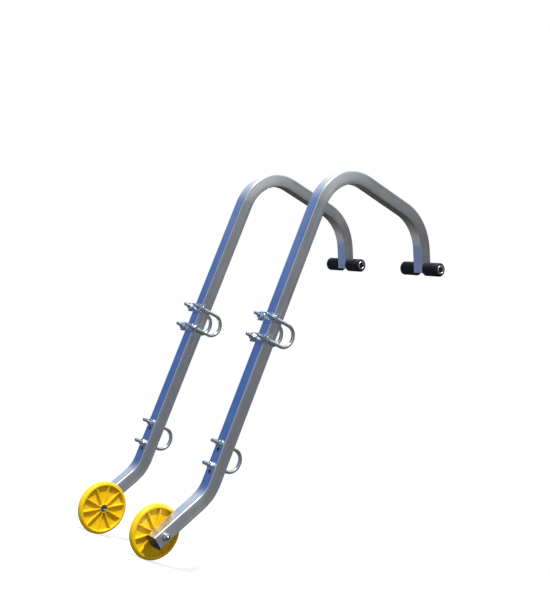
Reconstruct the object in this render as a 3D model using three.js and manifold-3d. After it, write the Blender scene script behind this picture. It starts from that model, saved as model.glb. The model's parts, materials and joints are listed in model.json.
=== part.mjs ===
// Ladder roof hook set: two mirrored hook arms that clamp across two ladder rungs.
// Each arm is a bent square tube with a cushioned cross tube at its hooked end, an axle with a
// wheel near its lower end, a pair of U-bolts with clamp plates at the upper rung and one U-bolt
// through the tube at the lower rung.
//
// Millimetres. +Z runs up the straight length of the arms, +Y points from the climbing side to
// the roof side, +X runs across the rungs from the left arm to the right. The origin is on the
// roof-side face of the left arm, level with the centre of the upper clamp.
import * as THREE from "three";
import { mergeVertices } from "three/addons/utils/BufferGeometryUtils.js";
import Module from "manifold-3d";

const wasm = await Module();
wasm.setup();

const DEG = Math.PI / 180;
const QUARTER_TURN = Math.PI / 2;
const TURN_TO_X = [0, QUARTER_TURN, 0]; // lays a piece made along Z along X
const TURN_TO_Y = [QUARTER_TURN, 0, 0]; // and along Y

// ---- shared dimensions ------------------------------------------------------------------------
const ARM_SPACING = 270; // centre to centre of the two arms
const RUNG_PITCH = 280; // upper clamp centre to lower clamp centre
const REST = 0.05; // gap between pieces that rest on each other

const TUBE = 29; // square tube, across flats
const TUBE_WALL = 2;
const TUBE_CORNER = 2.5; // outer corner radius
const TUBE_CENTRE_Y = -TUBE / 2; // centreline of the straight length

const CROSS_TUBE_OD = 20;
const RIVET_HOLE = 5;
const RIVET_HOLE_SIDES = 10;

const ROD = 8; // U-bolt rod
const ROD_HOLE = ROD + 0.6; // holes the rods pass through
const ROD_HOLE_SIDES = 12;
const LEG_OFFSET = 24; // each leg from the clamp centre, also the bow's centreline radius
const UBOLT_HALF_SPACING = 20; // the upper U-bolts, either side of the arm
const PLATE_THICKNESS = 3;
const NUT_FLATS = 13;
const WASHER_THICKNESS = 1.6;
const AXLE_ROD = 8;

// ---- solids and meshes ------------------------------------------------------------------------
const v3 = (x, y, z) => new THREE.Vector3(x, y, z);
const v2 = (x, y) => new THREE.Vector2(x, y);

// A closed geometry as a solid, moved by a matrix if one is given.
function solid(geometry, matrix) {
  const bare = geometry.clone();
  bare.deleteAttribute("normal");
  bare.deleteAttribute("uv");
  const merged = mergeVertices(bare, 1e-4);
  if (matrix) merged.applyMatrix4(matrix);
  const index = merged.index.array;
  const kept = []; // triangles that merging has not collapsed
  for (let i = 0; i < index.length; i += 3) {
    const [a, b, c] = index.slice(i, i + 3);
    if (a !== b && b !== c && c !== a) kept.push(a, b, c);
  }
  return new wasm.Manifold(
    new wasm.Mesh({
      numProp: 3,
      vertProperties: new Float32Array(merged.attributes.position.array),
      triVerts: new Uint32Array(kept),
    }),
  );
}

function geometryOf(manifold) {
  const { numProp, numVert, vertProperties, triVerts } = manifold.getMesh();
  const position = new Float32Array(numVert * 3);
  for (let i = 0; i < numVert; i++) {
    position.set(vertProperties.subarray(i * numProp, i * numProp + 3), i * 3);
  }
  const geometry = new THREE.BufferGeometry();
  geometry.setAttribute("position", new THREE.BufferAttribute(position, 3));
  geometry.setIndex(new THREE.BufferAttribute(new Uint32Array(triVerts), 1));
  return geometry;
}

const placed = (x, y, z, turn = [0, 0, 0]) =>
  new THREE.Matrix4().makeRotationFromEuler(new THREE.Euler(...turn)).setPosition(x, y, z);

// ---- outlines, prisms and turned solids -------------------------------------------------------
// Corner radius of a regular polygon whose flats touch a circle of the given radius.
const cornerRadius = (radius, sides) => radius / Math.cos(Math.PI / sides);

function polygon(radius, sides) {
  return Array.from({ length: sides }, (_, i) => {
    const angle = (2 * Math.PI * i) / sides;
    return v2(radius * Math.cos(angle), radius * Math.sin(angle));
  });
}

// Shafts have their corners on the circle; holes and nuts have their flats on it.
const shaftOutline = (diameter, sides) => polygon(diameter / 2, sides);
const flatsOutline = (diameter, sides) => polygon(cornerRadius(diameter / 2, sides), sides);

// A square with rounded corners, each in the given number of steps.
function squareOutline(half, radius, steps) {
  const corners = [[1, 1], [-1, 1], [-1, -1], [1, -1]];
  return corners.flatMap(([signX, signY], quarter) =>
    Array.from({ length: steps + 1 }, (_, i) => {
      const angle = (quarter + i / steps) * QUARTER_TURN;
      return v2(
        signX * (half - radius) + radius * Math.cos(angle),
        signY * (half - radius) + radius * Math.sin(angle),
      );
    }),
  );
}

// An outline extruded along Z, centred on z = 0.
function prism(outline, length, ...holes) {
  const shape = new THREE.Shape(outline);
  for (const hole of holes) shape.holes.push(new THREE.Path(hole.slice().reverse()));
  const geometry = new THREE.ExtrudeGeometry(shape, { depth: length, bevelEnabled: false });
  geometry.translate(0, 0, -length / 2);
  return geometry;
}

const drill = (diameter, length, sides, matrix) =>
  solid(prism(flatsOutline(diameter, sides), length), matrix);

// A solid of revolution about X, from a closed profile of (x, radius) pairs.
function turned(profile, sides) {
  const points = [...profile, profile[0]].map(([x, radius]) => v2(radius, x));
  const geometry = new THREE.LatheGeometry(points, sides);
  geometry.rotateZ(-QUARTER_TURN); // the lathe's axis, +Y, becomes +X
  geometry.rotateX(QUARTER_TURN);
  return geometry;
}

// ---- sweeps through stations in the YZ plane --------------------------------------------------
// A station's heading is measured from +Z towards +Y.
const station = (y, z, heading) => ({
  point: v3(0, y, z),
  tangent: v3(0, Math.sin(heading), Math.cos(heading)),
  heading,
});

const straightFrom = ({ point, heading }, distance) =>
  station(
    point.y + distance * Math.sin(heading),
    point.z + distance * Math.cos(heading),
    heading,
  );

// Stations round a bend, from the start's heading to another. The bend's centre is on the +Y side
// of a +Z heading, or on the -Y side if the radius is negative.
function bendFrom(start, radius, endHeading, steps) {
  const centreY = start.point.y + radius * Math.cos(start.heading);
  const centreZ = start.point.z - radius * Math.sin(start.heading);
  return Array.from({ length: steps + 1 }, (_, i) => {
    const heading = start.heading + ((endHeading - start.heading) * i) / steps;
    return station(
      centreY - radius * Math.cos(heading),
      centreZ + radius * Math.sin(heading),
      heading,
    );
  });
}

// A curve that gives a swept section one ring at every station and none in between.
class StationPath extends THREE.Curve {
  constructor(stations) {
    super();
    this.stations = stations;
  }

  stationAt(fraction) {
    return this.stations[Math.round(fraction * (this.stations.length - 1))];
  }

  getPointAt(fraction, target = new THREE.Vector3()) {
    return target.copy(this.stationAt(fraction).point);
  }

  getTangentAt(fraction, target = new THREE.Vector3()) {
    return target.copy(this.stationAt(fraction).tangent);
  }
}

const sweep = (shape, stations) =>
  new THREE.ExtrudeGeometry(shape, {
    steps: stations.length - 1,
    bevelEnabled: false,
    extrudePath: new StationPath(stations),
  });

// ---- the arm's centreline ---------------------------------------------------------------------
// Bend radii are to the centreline.
const LOWER_BEND = { z: -338.2, radius: 75.5, angle: 33 * DEG, steps: 5 }; // z of its upper end
const UPPER_BEND = { z: 297.3, radius: 100.8, angle: 90 * DEG, steps: 12 }; // z of its lower end
const NOSE_BEND = { radius: 111.8, angle: 60 * DEG, steps: 8 };
const LOWER_LEG = 123.4; // straight length below the lower bend
const AXLE_ALONG = 102.9; // axle centre, measured down that length
const HOOK_REACH = 133; // straight length over the ridge
const NOSE_LEG = 46; // straight length from the nose bend to the cross tube axis
const NOSE_OVERRUN = 8; // tube beyond the cross tube axis

function armLine() {
  const straightFoot = station(TUBE_CENTRE_Y, LOWER_BEND.z, 0);
  const straightHead = station(TUBE_CENTRE_Y, UPPER_BEND.z, 0);
  const noseHeading = UPPER_BEND.angle + NOSE_BEND.angle;

  const lowerBend = bendFrom(
    straightFoot, -LOWER_BEND.radius, LOWER_BEND.angle, LOWER_BEND.steps,
  ).reverse();
  const upperBend = bendFrom(
    straightHead, UPPER_BEND.radius, UPPER_BEND.angle, UPPER_BEND.steps,
  );
  const reachEnd = straightFrom(upperBend.at(-1), HOOK_REACH);
  const noseBend = bendFrom(reachEnd, NOSE_BEND.radius, noseHeading, NOSE_BEND.steps);

  const lowerEnd = straightFrom(lowerBend[0], -LOWER_LEG);
  const noseEnd = straightFrom(noseBend.at(-1), NOSE_LEG + NOSE_OVERRUN);
  return {
    stations: [lowerEnd, ...lowerBend, ...upperBend, ...noseBend, noseEnd],
    lowerEnd,
    axle: straightFrom(lowerBend[0], -AXLE_ALONG),
    cross: straightFrom(noseBend.at(-1), NOSE_LEG),
  };
}
const LINE = armLine();

// A frame on the rivet's axis, at a distance from the cross tube's centre towards the inside of
// the hook. Its +Z points out of the arm tube's inside wall.
function rivetFrame(crossCentre, distance) {
  const { heading } = LINE.cross;
  const zAxis = v3(0, Math.cos(heading), -Math.sin(heading));
  const xAxis = v3(1, 0, 0);
  const yAxis = zAxis.clone().cross(xAxis);
  const position = crossCentre.clone().addScaledVector(zAxis, distance);
  return new THREE.Matrix4().makeBasis(xAxis, yAxis, zAxis).setPosition(position);
}

// ---- arm tube and end cap ---------------------------------------------------------------------
const CROSS_HOLE = CROSS_TUBE_OD + 0.3;
const AXLE_HOLE = AXLE_ROD + 0.4;
const SPARE_HOLE_DROP = 13; // spare holes below the two lower clamp holes

// The arm tube, in the arm's own frame.
function armTube() {
  const section = new THREE.Shape(squareOutline(TUBE / 2, TUBE_CORNER, 2));
  const inner = TUBE / 2 - TUBE_WALL;
  section.holes.push(
    new THREE.Path([v2(-inner, -inner), v2(-inner, inner), v2(inner, inner), v2(inner, -inner)]),
  );

  const through = 2 * TUBE;
  const holeAlongX = (diameter, { point }, sides) =>
    drill(diameter, through, sides, placed(0, point.y, point.z, TURN_TO_X));
  const holeAlongY = (z) =>
    drill(ROD_HOLE, through, ROD_HOLE_SIDES, placed(0, TUBE_CENTRE_Y, z, TURN_TO_Y));

  let tube = solid(sweep(section, LINE.stations))
    .subtract(holeAlongX(CROSS_HOLE, LINE.cross, 20))
    .subtract(holeAlongX(AXLE_HOLE, LINE.axle, 12));
  for (const level of [1, -1]) {
    const z = -RUNG_PITCH + level * LEG_OFFSET;
    tube = tube.subtract(holeAlongY(z)).subtract(holeAlongY(z - SPARE_HOLE_DROP));
  }
  // rivet hole in the wall on the inside of the hook
  const wallFrame = rivetFrame(LINE.cross.point, TUBE / 2);
  return geometryOf(tube.subtract(drill(RIVET_HOLE, 9, RIVET_HOLE_SIDES, wallFrame)));
}

const CAP_GAP = 0.3; // from the cap to the tube's end and walls
const CAP_PLUG_LENGTH = 14;
const CAP_PLUG_OVERLAP = 0.5; // plug inside the head
// layers of the head: inset from the tube's outer flats, then low and high ends along Z
const CAP_LAYERS = [
  [0.1, CAP_GAP, 2.4],
  [0.7, 2.3, 3.3],
  [2.6, 3.2, 4.1],
];

// A plug in the tube and a stepped head over its end; +Z points out of the tube.
function endCap() {
  const plugHalf = TUBE / 2 - TUBE_WALL - CAP_GAP;
  const plugCentre = CAP_GAP + CAP_PLUG_OVERLAP - CAP_PLUG_LENGTH / 2;
  const plugOutline = squareOutline(plugHalf, 1, 1);
  let cap = solid(prism(plugOutline, CAP_PLUG_LENGTH), placed(0, 0, plugCentre));
  for (const [inset, low, high] of CAP_LAYERS) {
    const layer = prism(squareOutline(TUBE / 2 - inset, 3, 3), high - low);
    cap = cap.add(solid(layer, placed(0, 0, (low + high) / 2)));
  }
  return geometryOf(cap);
}

// ---- cross tube, rivet and pads ---------------------------------------------------------------
const CROSS_TUBE_ID = 14;
const CROSS_TUBE_LENGTH = 120;
const CROSS_TUBE_SIDES = 20;

function crossTube() {
  const blank = prism(
    shaftOutline(CROSS_TUBE_OD, CROSS_TUBE_SIDES),
    CROSS_TUBE_LENGTH,
    shaftOutline(CROSS_TUBE_ID, CROSS_TUBE_SIDES),
  );
  const wallFrame = rivetFrame(v3(0, 0, 0), CROSS_TUBE_OD / 2);
  const hole = drill(RIVET_HOLE, 8, RIVET_HOLE_SIDES, wallFrame);
  return geometryOf(solid(blank, placed(0, 0, 0, TURN_TO_X)).subtract(hole));
}

// radius, z: set bulb inside the cross tube, shank through both walls, dome head outside
const RIVET_PROFILE = [
  [0, -11.0],
  [1.6, -11.0],
  [3.1, -10.1],
  [3.1, -8.9],
  [2.3, -8.5],
  [2.3, REST],
  [4.0, REST],
  [4.0, 0.25],
  [3.0, 0.95],
  [1.6, 1.5],
  [0, 1.7],
];

// z = 0 is the arm tube's wall face and +Z points out of it.
function rivet() {
  const geometry = new THREE.LatheGeometry(RIVET_PROFILE.map(([r, z]) => v2(r, z)), 12);
  geometry.rotateX(QUARTER_TURN); // the lathe's axis, +Y, becomes +Z
  return geometry;
}

const PAD_RADIUS = 16;
const PAD_BORE = CROSS_TUBE_OD + 0.2;
const PAD_SIDES = 16;
const PAD_NEAR_END = 14.8; // from the arm's centre plane
const PAD_FAR_END = 58.6;
const PAD_NEAR_CHAMFER = 1.2;

// A sleeve on the +X half of the cross tube.
function pad() {
  const bore = cornerRadius(PAD_BORE / 2, PAD_SIDES);
  const profile = [
    [PAD_NEAR_END, bore],
    [PAD_NEAR_END, PAD_RADIUS - PAD_NEAR_CHAMFER],
    [PAD_NEAR_END + PAD_NEAR_CHAMFER, PAD_RADIUS],
    [PAD_FAR_END - 2.6, PAD_RADIUS],
    [PAD_FAR_END - 0.8, PAD_RADIUS - 1.1],
    [PAD_FAR_END, PAD_RADIUS - 2.8],
    [PAD_FAR_END, bore],
  ];
  return turned(profile, PAD_SIDES);
}

// ---- U-bolts, plates, nuts and washers --------------------------------------------------------
const BOW_CENTRE_Y = 11.5; // centre of the bow, on the roof side of the arm
const LEG_TIP_Y = -52.5; // leg ends, on the climbing side of the arm
const BOW_STEPS = 10;

// Centred between its legs in Z, with y = 0 on the arm's roof-side face.
function uBolt() {
  // The leg tangents are exact: a rounding error in the first would turn the swept section.
  const legTip = (side) => ({
    point: v3(0, LEG_TIP_Y, side * LEG_OFFSET),
    tangent: v3(0, side, 0),
  });
  const bowStart = station(BOW_CENTRE_Y, LEG_OFFSET, QUARTER_TURN);
  const bow = bendFrom(bowStart, LEG_OFFSET, 3 * QUARTER_TURN, BOW_STEPS);
  return sweep(new THREE.Shape(shaftOutline(ROD, 10)), [legTip(1), ...bow, legTip(-1)]);
}

const PLATE_HALF_LENGTH = 30;
const PLATE_HALF_HEIGHT = 10;
const PLATE_CHAMFER = 1.6;

// Lies in the XY plane, with one rod hole for each upper U-bolt.
function clampPlate() {
  const [endX, sideY] = [PLATE_HALF_LENGTH, PLATE_HALF_HEIGHT];
  const [cutX, cutY] = [endX - PLATE_CHAMFER, sideY - PLATE_CHAMFER];
  const outline = [
    v2(-cutX, -sideY),
    v2(cutX, -sideY),
    v2(endX, -cutY),
    v2(endX, cutY),
    v2(cutX, sideY),
    v2(-cutX, sideY),
    v2(-endX, cutY),
    v2(-endX, -cutY),
  ];
  const holes = [1, -1].map((side) =>
    flatsOutline(ROD_HOLE, ROD_HOLE_SIDES).map(({ x, y }) => v2(x + side * UBOLT_HALF_SPACING, y)),
  );
  return prism(outline, PLATE_THICKNESS, ...holes);
}

const hexNut = (height) =>
  prism(flatsOutline(NUT_FLATS, 6), height, flatsOutline(ROD + 0.1, 12));

const washer = (diameter) =>
  prism(shaftOutline(diameter, 16), WASHER_THICKNESS, flatsOutline(ROD + 0.5, 10));

// ---- wheel ------------------------------------------------------------------------------------
const SLEEVE_OD = 12; // the wheel turns on a flanged sleeve
const WHEEL_RADIUS = 57;
const WHEEL_WIDTH = 16;
const WHEEL_OFFSET = 26; // wheel mid-plane, inboard of the arm's centre plane
const WHEEL_BORE = SLEEVE_OD + 0.1;
const WHEEL_SIDES = 32;
const RIM_INNER_RADIUS = 48.8;
const WEB_THICKNESS = 3.2;
const HUB_RADIUS = 9.6;
const HUB_WIDTH = 17;
const RECESS_RADIUS = 7.95; // in the hub's inboard face, for the bolt head and its washer
const RECESS_DEPTH = 7;
// shoulder of the tread: inset from the wheel's side face, drop below the wheel's radius
const TREAD_SHOULDER = [
  [0, 6.5],
  [1.9, 2.4],
  [5.6, 0.3],
];
const RIB = { thickness: 3, width: 14, count: 10, hubOverlap: 1.5, rimOverlap: 1.2 };
const RIB_PHASE = { left: 26.5, right: 31 }; // degrees

// Its axis is X. openSide is the direction along X that the hub's recess faces.
function wheel(phase, openSide) {
  const rimSide = WHEEL_WIDTH / 2;
  const webSide = WEB_THICKNESS / 2;
  const hubSide = HUB_WIDTH / 2;
  const bore = cornerRadius(WHEEL_BORE / 2, WHEEL_SIDES);
  const recessFloor = hubSide - RECESS_DEPTH;
  const shoulder = TREAD_SHOULDER.map(([inset, drop]) => [rimSide - inset, WHEEL_RADIUS - drop]);
  const profile = [
    [-hubSide, bore],
    [-hubSide, HUB_RADIUS],
    [-webSide, HUB_RADIUS],
    [-webSide, RIM_INNER_RADIUS],
    [-rimSide, RIM_INNER_RADIUS],
    ...shoulder.map(([x, radius]) => [-x, radius]),
    [0, WHEEL_RADIUS],
    ...shoulder.reverse(),
    [rimSide, RIM_INNER_RADIUS],
    [webSide, RIM_INNER_RADIUS],
    [webSide, HUB_RADIUS],
    [hubSide, HUB_RADIUS],
    [hubSide, RECESS_RADIUS],
    [recessFloor, RECESS_RADIUS],
    [recessFloor, bore],
  ].map(([x, radius]) => [x * openSide, radius]);
  if (openSide < 0) profile.reverse(); // mirroring turned the outline inside out
  let body = solid(turned(profile, WHEEL_SIDES));

  const ribStart = HUB_RADIUS - RIB.hubOverlap;
  const ribEnd = RIM_INNER_RADIUS + RIB.rimOverlap;
  const rib = new THREE.BoxGeometry(RIB.width, ribEnd - ribStart, RIB.thickness);
  rib.translate(0, (ribStart + ribEnd) / 2, 0);
  for (let i = 0; i < RIB.count; i++) {
    const angle = (phase + (360 * i) / RIB.count) * DEG;
    body = body.add(solid(rib, new THREE.Matrix4().makeRotationX(angle)));
  }
  return geometryOf(body);
}

// ---- axle sleeve and bolt, with x measured inboard from the arm's centre plane -----------------
const SLEEVE_ID = AXLE_ROD + 0.3;
const SLEEVE_FLANGE_OD = 18;
const WHEEL_FREE_PLAY = 0.25; // at each end of the hub, so the wheel stays free
const SLEEVE_END = WHEEL_OFFSET + HUB_WIDTH / 2 - RECESS_DEPTH + WHEEL_FREE_PLAY;
const BOLT_LENGTH = 55; // under the head
const BOLT_HEAD_HEIGHT = 5.3;
const BOLT_OVERLAP = 1; // shank inside the head

function axleSleeve() {
  const armEnd = TUBE / 2 + REST;
  const flangeFace = WHEEL_OFFSET - HUB_WIDTH / 2 - WHEEL_FREE_PLAY;
  const profile = [
    [armEnd, SLEEVE_ID / 2],
    [armEnd, SLEEVE_FLANGE_OD / 2],
    [flangeFace, SLEEVE_FLANGE_OD / 2],
    [flangeFace, SLEEVE_OD / 2],
    [SLEEVE_END, SLEEVE_OD / 2],
    [SLEEVE_END, SLEEVE_ID / 2],
  ];
  return turned(profile, 32);
}

// Hex head in the wheel's recess, shank out through washer, sleeve, tube, washer and nut.
function axleBolt() {
  const headFace = SLEEVE_END + WASHER_THICKNESS + 2 * REST;
  const shankLength = BOLT_LENGTH + BOLT_OVERLAP;
  const head = solid(
    prism(flatsOutline(NUT_FLATS, 6), BOLT_HEAD_HEIGHT),
    placed(headFace + BOLT_HEAD_HEIGHT / 2, 0, 0, TURN_TO_X),
  );
  const shank = solid(
    prism(shaftOutline(AXLE_ROD, 12), shankLength),
    placed(headFace + BOLT_OVERLAP - shankLength / 2, 0, 0, TURN_TO_X),
  );
  return geometryOf(head.add(shank));
}

// ---- materials --------------------------------------------------------------------------------
const FINISH = {
  tube: { color: 0x9fa7b4, roughness: 0.38, metalness: 1 },
  steel: { color: 0xc9d3da, roughness: 0.25, metalness: 1 },
  rubber: { color: 0x101113, roughness: 0.75, metalness: 0 },
  plastic: { color: 0x15130f, roughness: 0.55, metalness: 0 },
  wheel: { color: 0xf4c400, roughness: 0.42, metalness: 0 },
};

// ---- assembly ---------------------------------------------------------------------------------
// Each section takes put(name, geometry, finish, position, turn), which adds a mesh to the arm,
// and inboard, the sign of the direction along X towards the other arm.
const CLAMP_NUT_HEIGHT = 6.5;
const CLAMP_WASHER_OD = 18;
const AXLE_NUT_HEIGHT = 8;
const HEAD_WASHER_OD = 15;
const NUT_WASHER_OD = 16;

// Turns a piece made on the +X side to the given side, keeping Z upright.
const facing = (side) => (side > 0 ? [0, 0, 0] : [0, 0, Math.PI]);

function addHookedEnd(put, inboard) {
  const { point } = LINE.cross;
  const centre = point.toArray();
  put("cross_tube", crossTube(), "tube", centre);
  put("cross_tube_rivet", rivet(), "steel").applyMatrix4(rivetFrame(point, TUBE / 2));
  put("pad_inner", pad(), "rubber", centre, facing(inboard));
  put("pad_outer", pad(), "rubber", centre, facing(-inboard));
}

// A washer and a nut on a U-bolt leg, on the climbing side of a face at y = seatY.
function addNutStack(put, name, [x, seatY, z], nutTurn) {
  const washerY = seatY - REST - WASHER_THICKNESS / 2;
  const nutY = seatY - 2 * REST - WASHER_THICKNESS - CLAMP_NUT_HEIGHT / 2;
  const turn = [QUARTER_TURN, 0, nutTurn * DEG];
  put(name + "_washer", washer(CLAMP_WASHER_OD), "steel", [x, washerY, z], TURN_TO_Y);
  put(name + "_nut", hexNut(CLAMP_NUT_HEIGHT), "steel", [x, nutY, z], turn);
}

// Two U-bolts beside the arm, joined by a plate at their upper legs and one at their lower legs.
function addUpperClamp(put, inboard) {
  const plateY = -TUBE - REST - PLATE_THICKNESS / 2;
  const seatY = -TUBE - REST - PLATE_THICKNESS;
  put("clamp_plate_top", clampPlate(), "steel", [0, plateY, LEG_OFFSET], TURN_TO_Y);
  put("clamp_plate_bottom", clampPlate(), "steel", [0, plateY, -LEG_OFFSET], TURN_TO_Y);
  // place, side along X, turns of the top and bottom nuts in degrees
  for (const [place, side, topTurn, bottomTurn] of [
    ["upper_inner", inboard, 8, 24],
    ["upper_outer", -inboard, 19, 3],
  ]) {
    const x = side * UBOLT_HALF_SPACING;
    put(place + "_ubolt", uBolt(), "steel", [x, 0, 0]);
    addNutStack(put, place + "_top", [x, seatY, LEG_OFFSET], topTurn);
    addNutStack(put, place + "_bottom", [x, seatY, -LEG_OFFSET], bottomTurn);
  }
}

// One U-bolt through the arm.
function addLowerClamp(put) {
  put("lower_ubolt", uBolt(), "steel", [0, 0, -RUNG_PITCH]);
  addNutStack(put, "lower_top", [0, -TUBE, -RUNG_PITCH + LEG_OFFSET], 12);
  addNutStack(put, "lower_bottom", [0, -TUBE, -RUNG_PITCH - LEG_OFFSET], 27);
}

function addWheelAndAxle(put, inboard, ribPhase) {
  const { y, z } = LINE.axle.point;
  const onAxle = (distance) => [inboard * distance, y, z]; // distance inboard
  const headWasher = SLEEVE_END + REST + WASHER_THICKNESS / 2;
  const nutWasher = -(TUBE / 2 + REST + WASHER_THICKNESS / 2);
  const nut = -(TUBE / 2 + 2 * REST + WASHER_THICKNESS + AXLE_NUT_HEIGHT / 2);
  put("wheel", wheel(ribPhase, inboard), "wheel", onAxle(WHEEL_OFFSET));
  put("axle_sleeve", axleSleeve(), "steel", onAxle(0), facing(inboard));
  put("axle_bolt", axleBolt(), "steel", onAxle(0), facing(inboard));
  put("axle_head_washer", washer(HEAD_WASHER_OD), "steel", onAxle(headWasher), TURN_TO_X);
  put("axle_nut_washer", washer(NUT_WASHER_OD), "steel", onAxle(nutWasher), TURN_TO_X);
  put("axle_nut", hexNut(AXLE_NUT_HEIGHT), "steel", onAxle(nut), TURN_TO_X);
}

function hookArm(side, armX, inboard) {
  const arm = new THREE.Group();
  arm.position.x = armX;

  const put = (name, geometry, finish, position = [0, 0, 0], turn = [0, 0, 0]) => {
    const mesh = new THREE.Mesh(geometry, new THREE.MeshStandardMaterial(FINISH[finish]));
    mesh.name = side + "_" + name;
    mesh.position.set(...position);
    mesh.rotation.set(...turn);
    arm.add(mesh);
    return mesh;
  };

  const { point, heading } = LINE.lowerEnd;
  put("arm_tube", armTube(), "tube");
  put("end_cap", endCap(), "plastic", point.toArray(), [Math.PI - heading, 0, 0]);
  addHookedEnd(put, inboard);
  addUpperClamp(put, inboard);
  addLowerClamp(put);
  addWheelAndAxle(put, inboard, RIB_PHASE[side]);
  return arm;
}

const root = new THREE.Group();
root.name = "ladder_roof_hook_set";
root.add(hookArm("left", 0, 1), hookArm("right", ARM_SPACING, -1));

export default root;
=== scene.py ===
"""Looks for a ladder roof hook set: two hooked arms with wheels, clamped to the ladder's rungs.

+Z runs up the arms and +X across them, from the left arm (x = 0) to the right. The hooks reach
back towards +Y. The arms' back walls lie in the plane y = 0 and their front walls face -Y.
z = 0 is the upper pair of U-bolts. Builders work in millimetres; materials, the stage and
finished meshes are in metres.
"""

import json
import math
from contextlib import contextmanager

import bmesh
import bpy
from mathutils import Matrix, Vector
from mathutils.geometry import tessellate_polygon

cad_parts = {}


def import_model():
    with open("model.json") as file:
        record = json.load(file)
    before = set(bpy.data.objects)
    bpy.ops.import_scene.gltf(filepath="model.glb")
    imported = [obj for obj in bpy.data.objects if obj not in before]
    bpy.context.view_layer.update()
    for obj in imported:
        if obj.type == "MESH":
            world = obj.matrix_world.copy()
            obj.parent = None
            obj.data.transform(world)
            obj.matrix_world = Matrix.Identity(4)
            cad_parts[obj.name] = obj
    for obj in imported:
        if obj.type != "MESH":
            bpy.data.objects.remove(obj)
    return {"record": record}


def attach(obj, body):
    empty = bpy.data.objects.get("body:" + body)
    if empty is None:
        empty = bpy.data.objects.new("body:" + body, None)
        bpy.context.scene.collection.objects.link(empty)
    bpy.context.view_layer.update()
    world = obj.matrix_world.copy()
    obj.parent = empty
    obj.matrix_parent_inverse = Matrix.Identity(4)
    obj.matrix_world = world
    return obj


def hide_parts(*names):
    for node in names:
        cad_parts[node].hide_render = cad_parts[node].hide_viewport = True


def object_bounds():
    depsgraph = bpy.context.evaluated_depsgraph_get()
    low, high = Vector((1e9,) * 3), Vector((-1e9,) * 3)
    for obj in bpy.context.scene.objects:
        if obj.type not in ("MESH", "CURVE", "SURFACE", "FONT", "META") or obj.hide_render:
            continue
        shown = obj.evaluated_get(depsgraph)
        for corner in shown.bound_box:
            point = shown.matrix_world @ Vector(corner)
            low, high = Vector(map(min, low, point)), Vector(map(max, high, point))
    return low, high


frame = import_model()
CAD_LO, CAD_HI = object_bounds()
NODE_BODY = {n: body for body, ns in frame["record"]["behaviour"]["bodies"].items() for n in ns}
NODE_SLOT = {part["node"]: part["material_slot"] for part in frame["record"]["subparts"]}

MM = 0.001
DEG = math.pi / 180

# ---- dimensions shared with the CAD frame ---------------------------------------------------
ARM_X = {"left": 0.0, "right": 270.0}
INBOARD = {"left": 1, "right": -1}  # the X direction towards the other arm
RUNG_PITCH = 280.0

# square tube and its centreline; bend angles in degrees
TUBE = 29.0
WALL = 2.0
CENTRE_Y = -TUBE / 2
LOWER_BEND_Z = -338.2
LOWER_BEND_R = 75.5
LOWER_BEND_A = 33.0
LOWER_LEG = 123.4
AXLE_ALONG = 102.9  # from the lower bend down the leg
UPPER_BEND_Z = 297.3
UPPER_BEND_R = 100.8
UPPER_BEND_A = 90.0
HOOK_REACH = 133.0
NOSE_BEND_R = 111.8
NOSE_BEND_A = 60.0
NOSE_LEG = 46.0  # from the nose bend to the cross tube
NOSE_OVERRUN = 8.0
BEND_STEP = 3.0

# U-bolts, clamp plates and fasteners
LEG_OFFSET = 24.0
BOW_Y = 11.5
LEG_TIP_Y = -52.5
UBOLT_HALF = 20.0  # each upper U-bolt from the arm's middle
LEG_HOLE_R = 4.3
PLATE_W = 60.0
PLATE_H = 20.0
PLATE_T = 3.0
WASHER_T = 1.6
WASHER_BORE_R = 4.25
NUT_FLATS = 13.0
NUT_H = 6.5
NUT_BORE_R = 4.05
ROD_R = 4.0
ROD_SIDES = 28
REST = 0.05  # gap between touching pieces

# cross tube, wheel and axle
CROSS_R = 10.0
RIVET_HOLE_R = 2.5
WHEEL_OFFSET = 26.0
HUB_W = 17.0
RECESS = 7.0
SLEEVE_END = WHEEL_OFFSET + HUB_W / 2 - RECESS + 0.25
AXLE_LENGTH = 55.0
AXLE_NUT_H = 8.0

# how far ribs and nuts are turned, in degrees
RIB_PHASE = {"left": 26.5, "right": 31.0}
NUT_TURN = {
    "upper_inner_top": 8,
    "upper_inner_bottom": 24,
    "upper_outer_top": 19,
    "upper_outer_bottom": 3,
    "lower_top": 12,
    "lower_bottom": 27,
}


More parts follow.
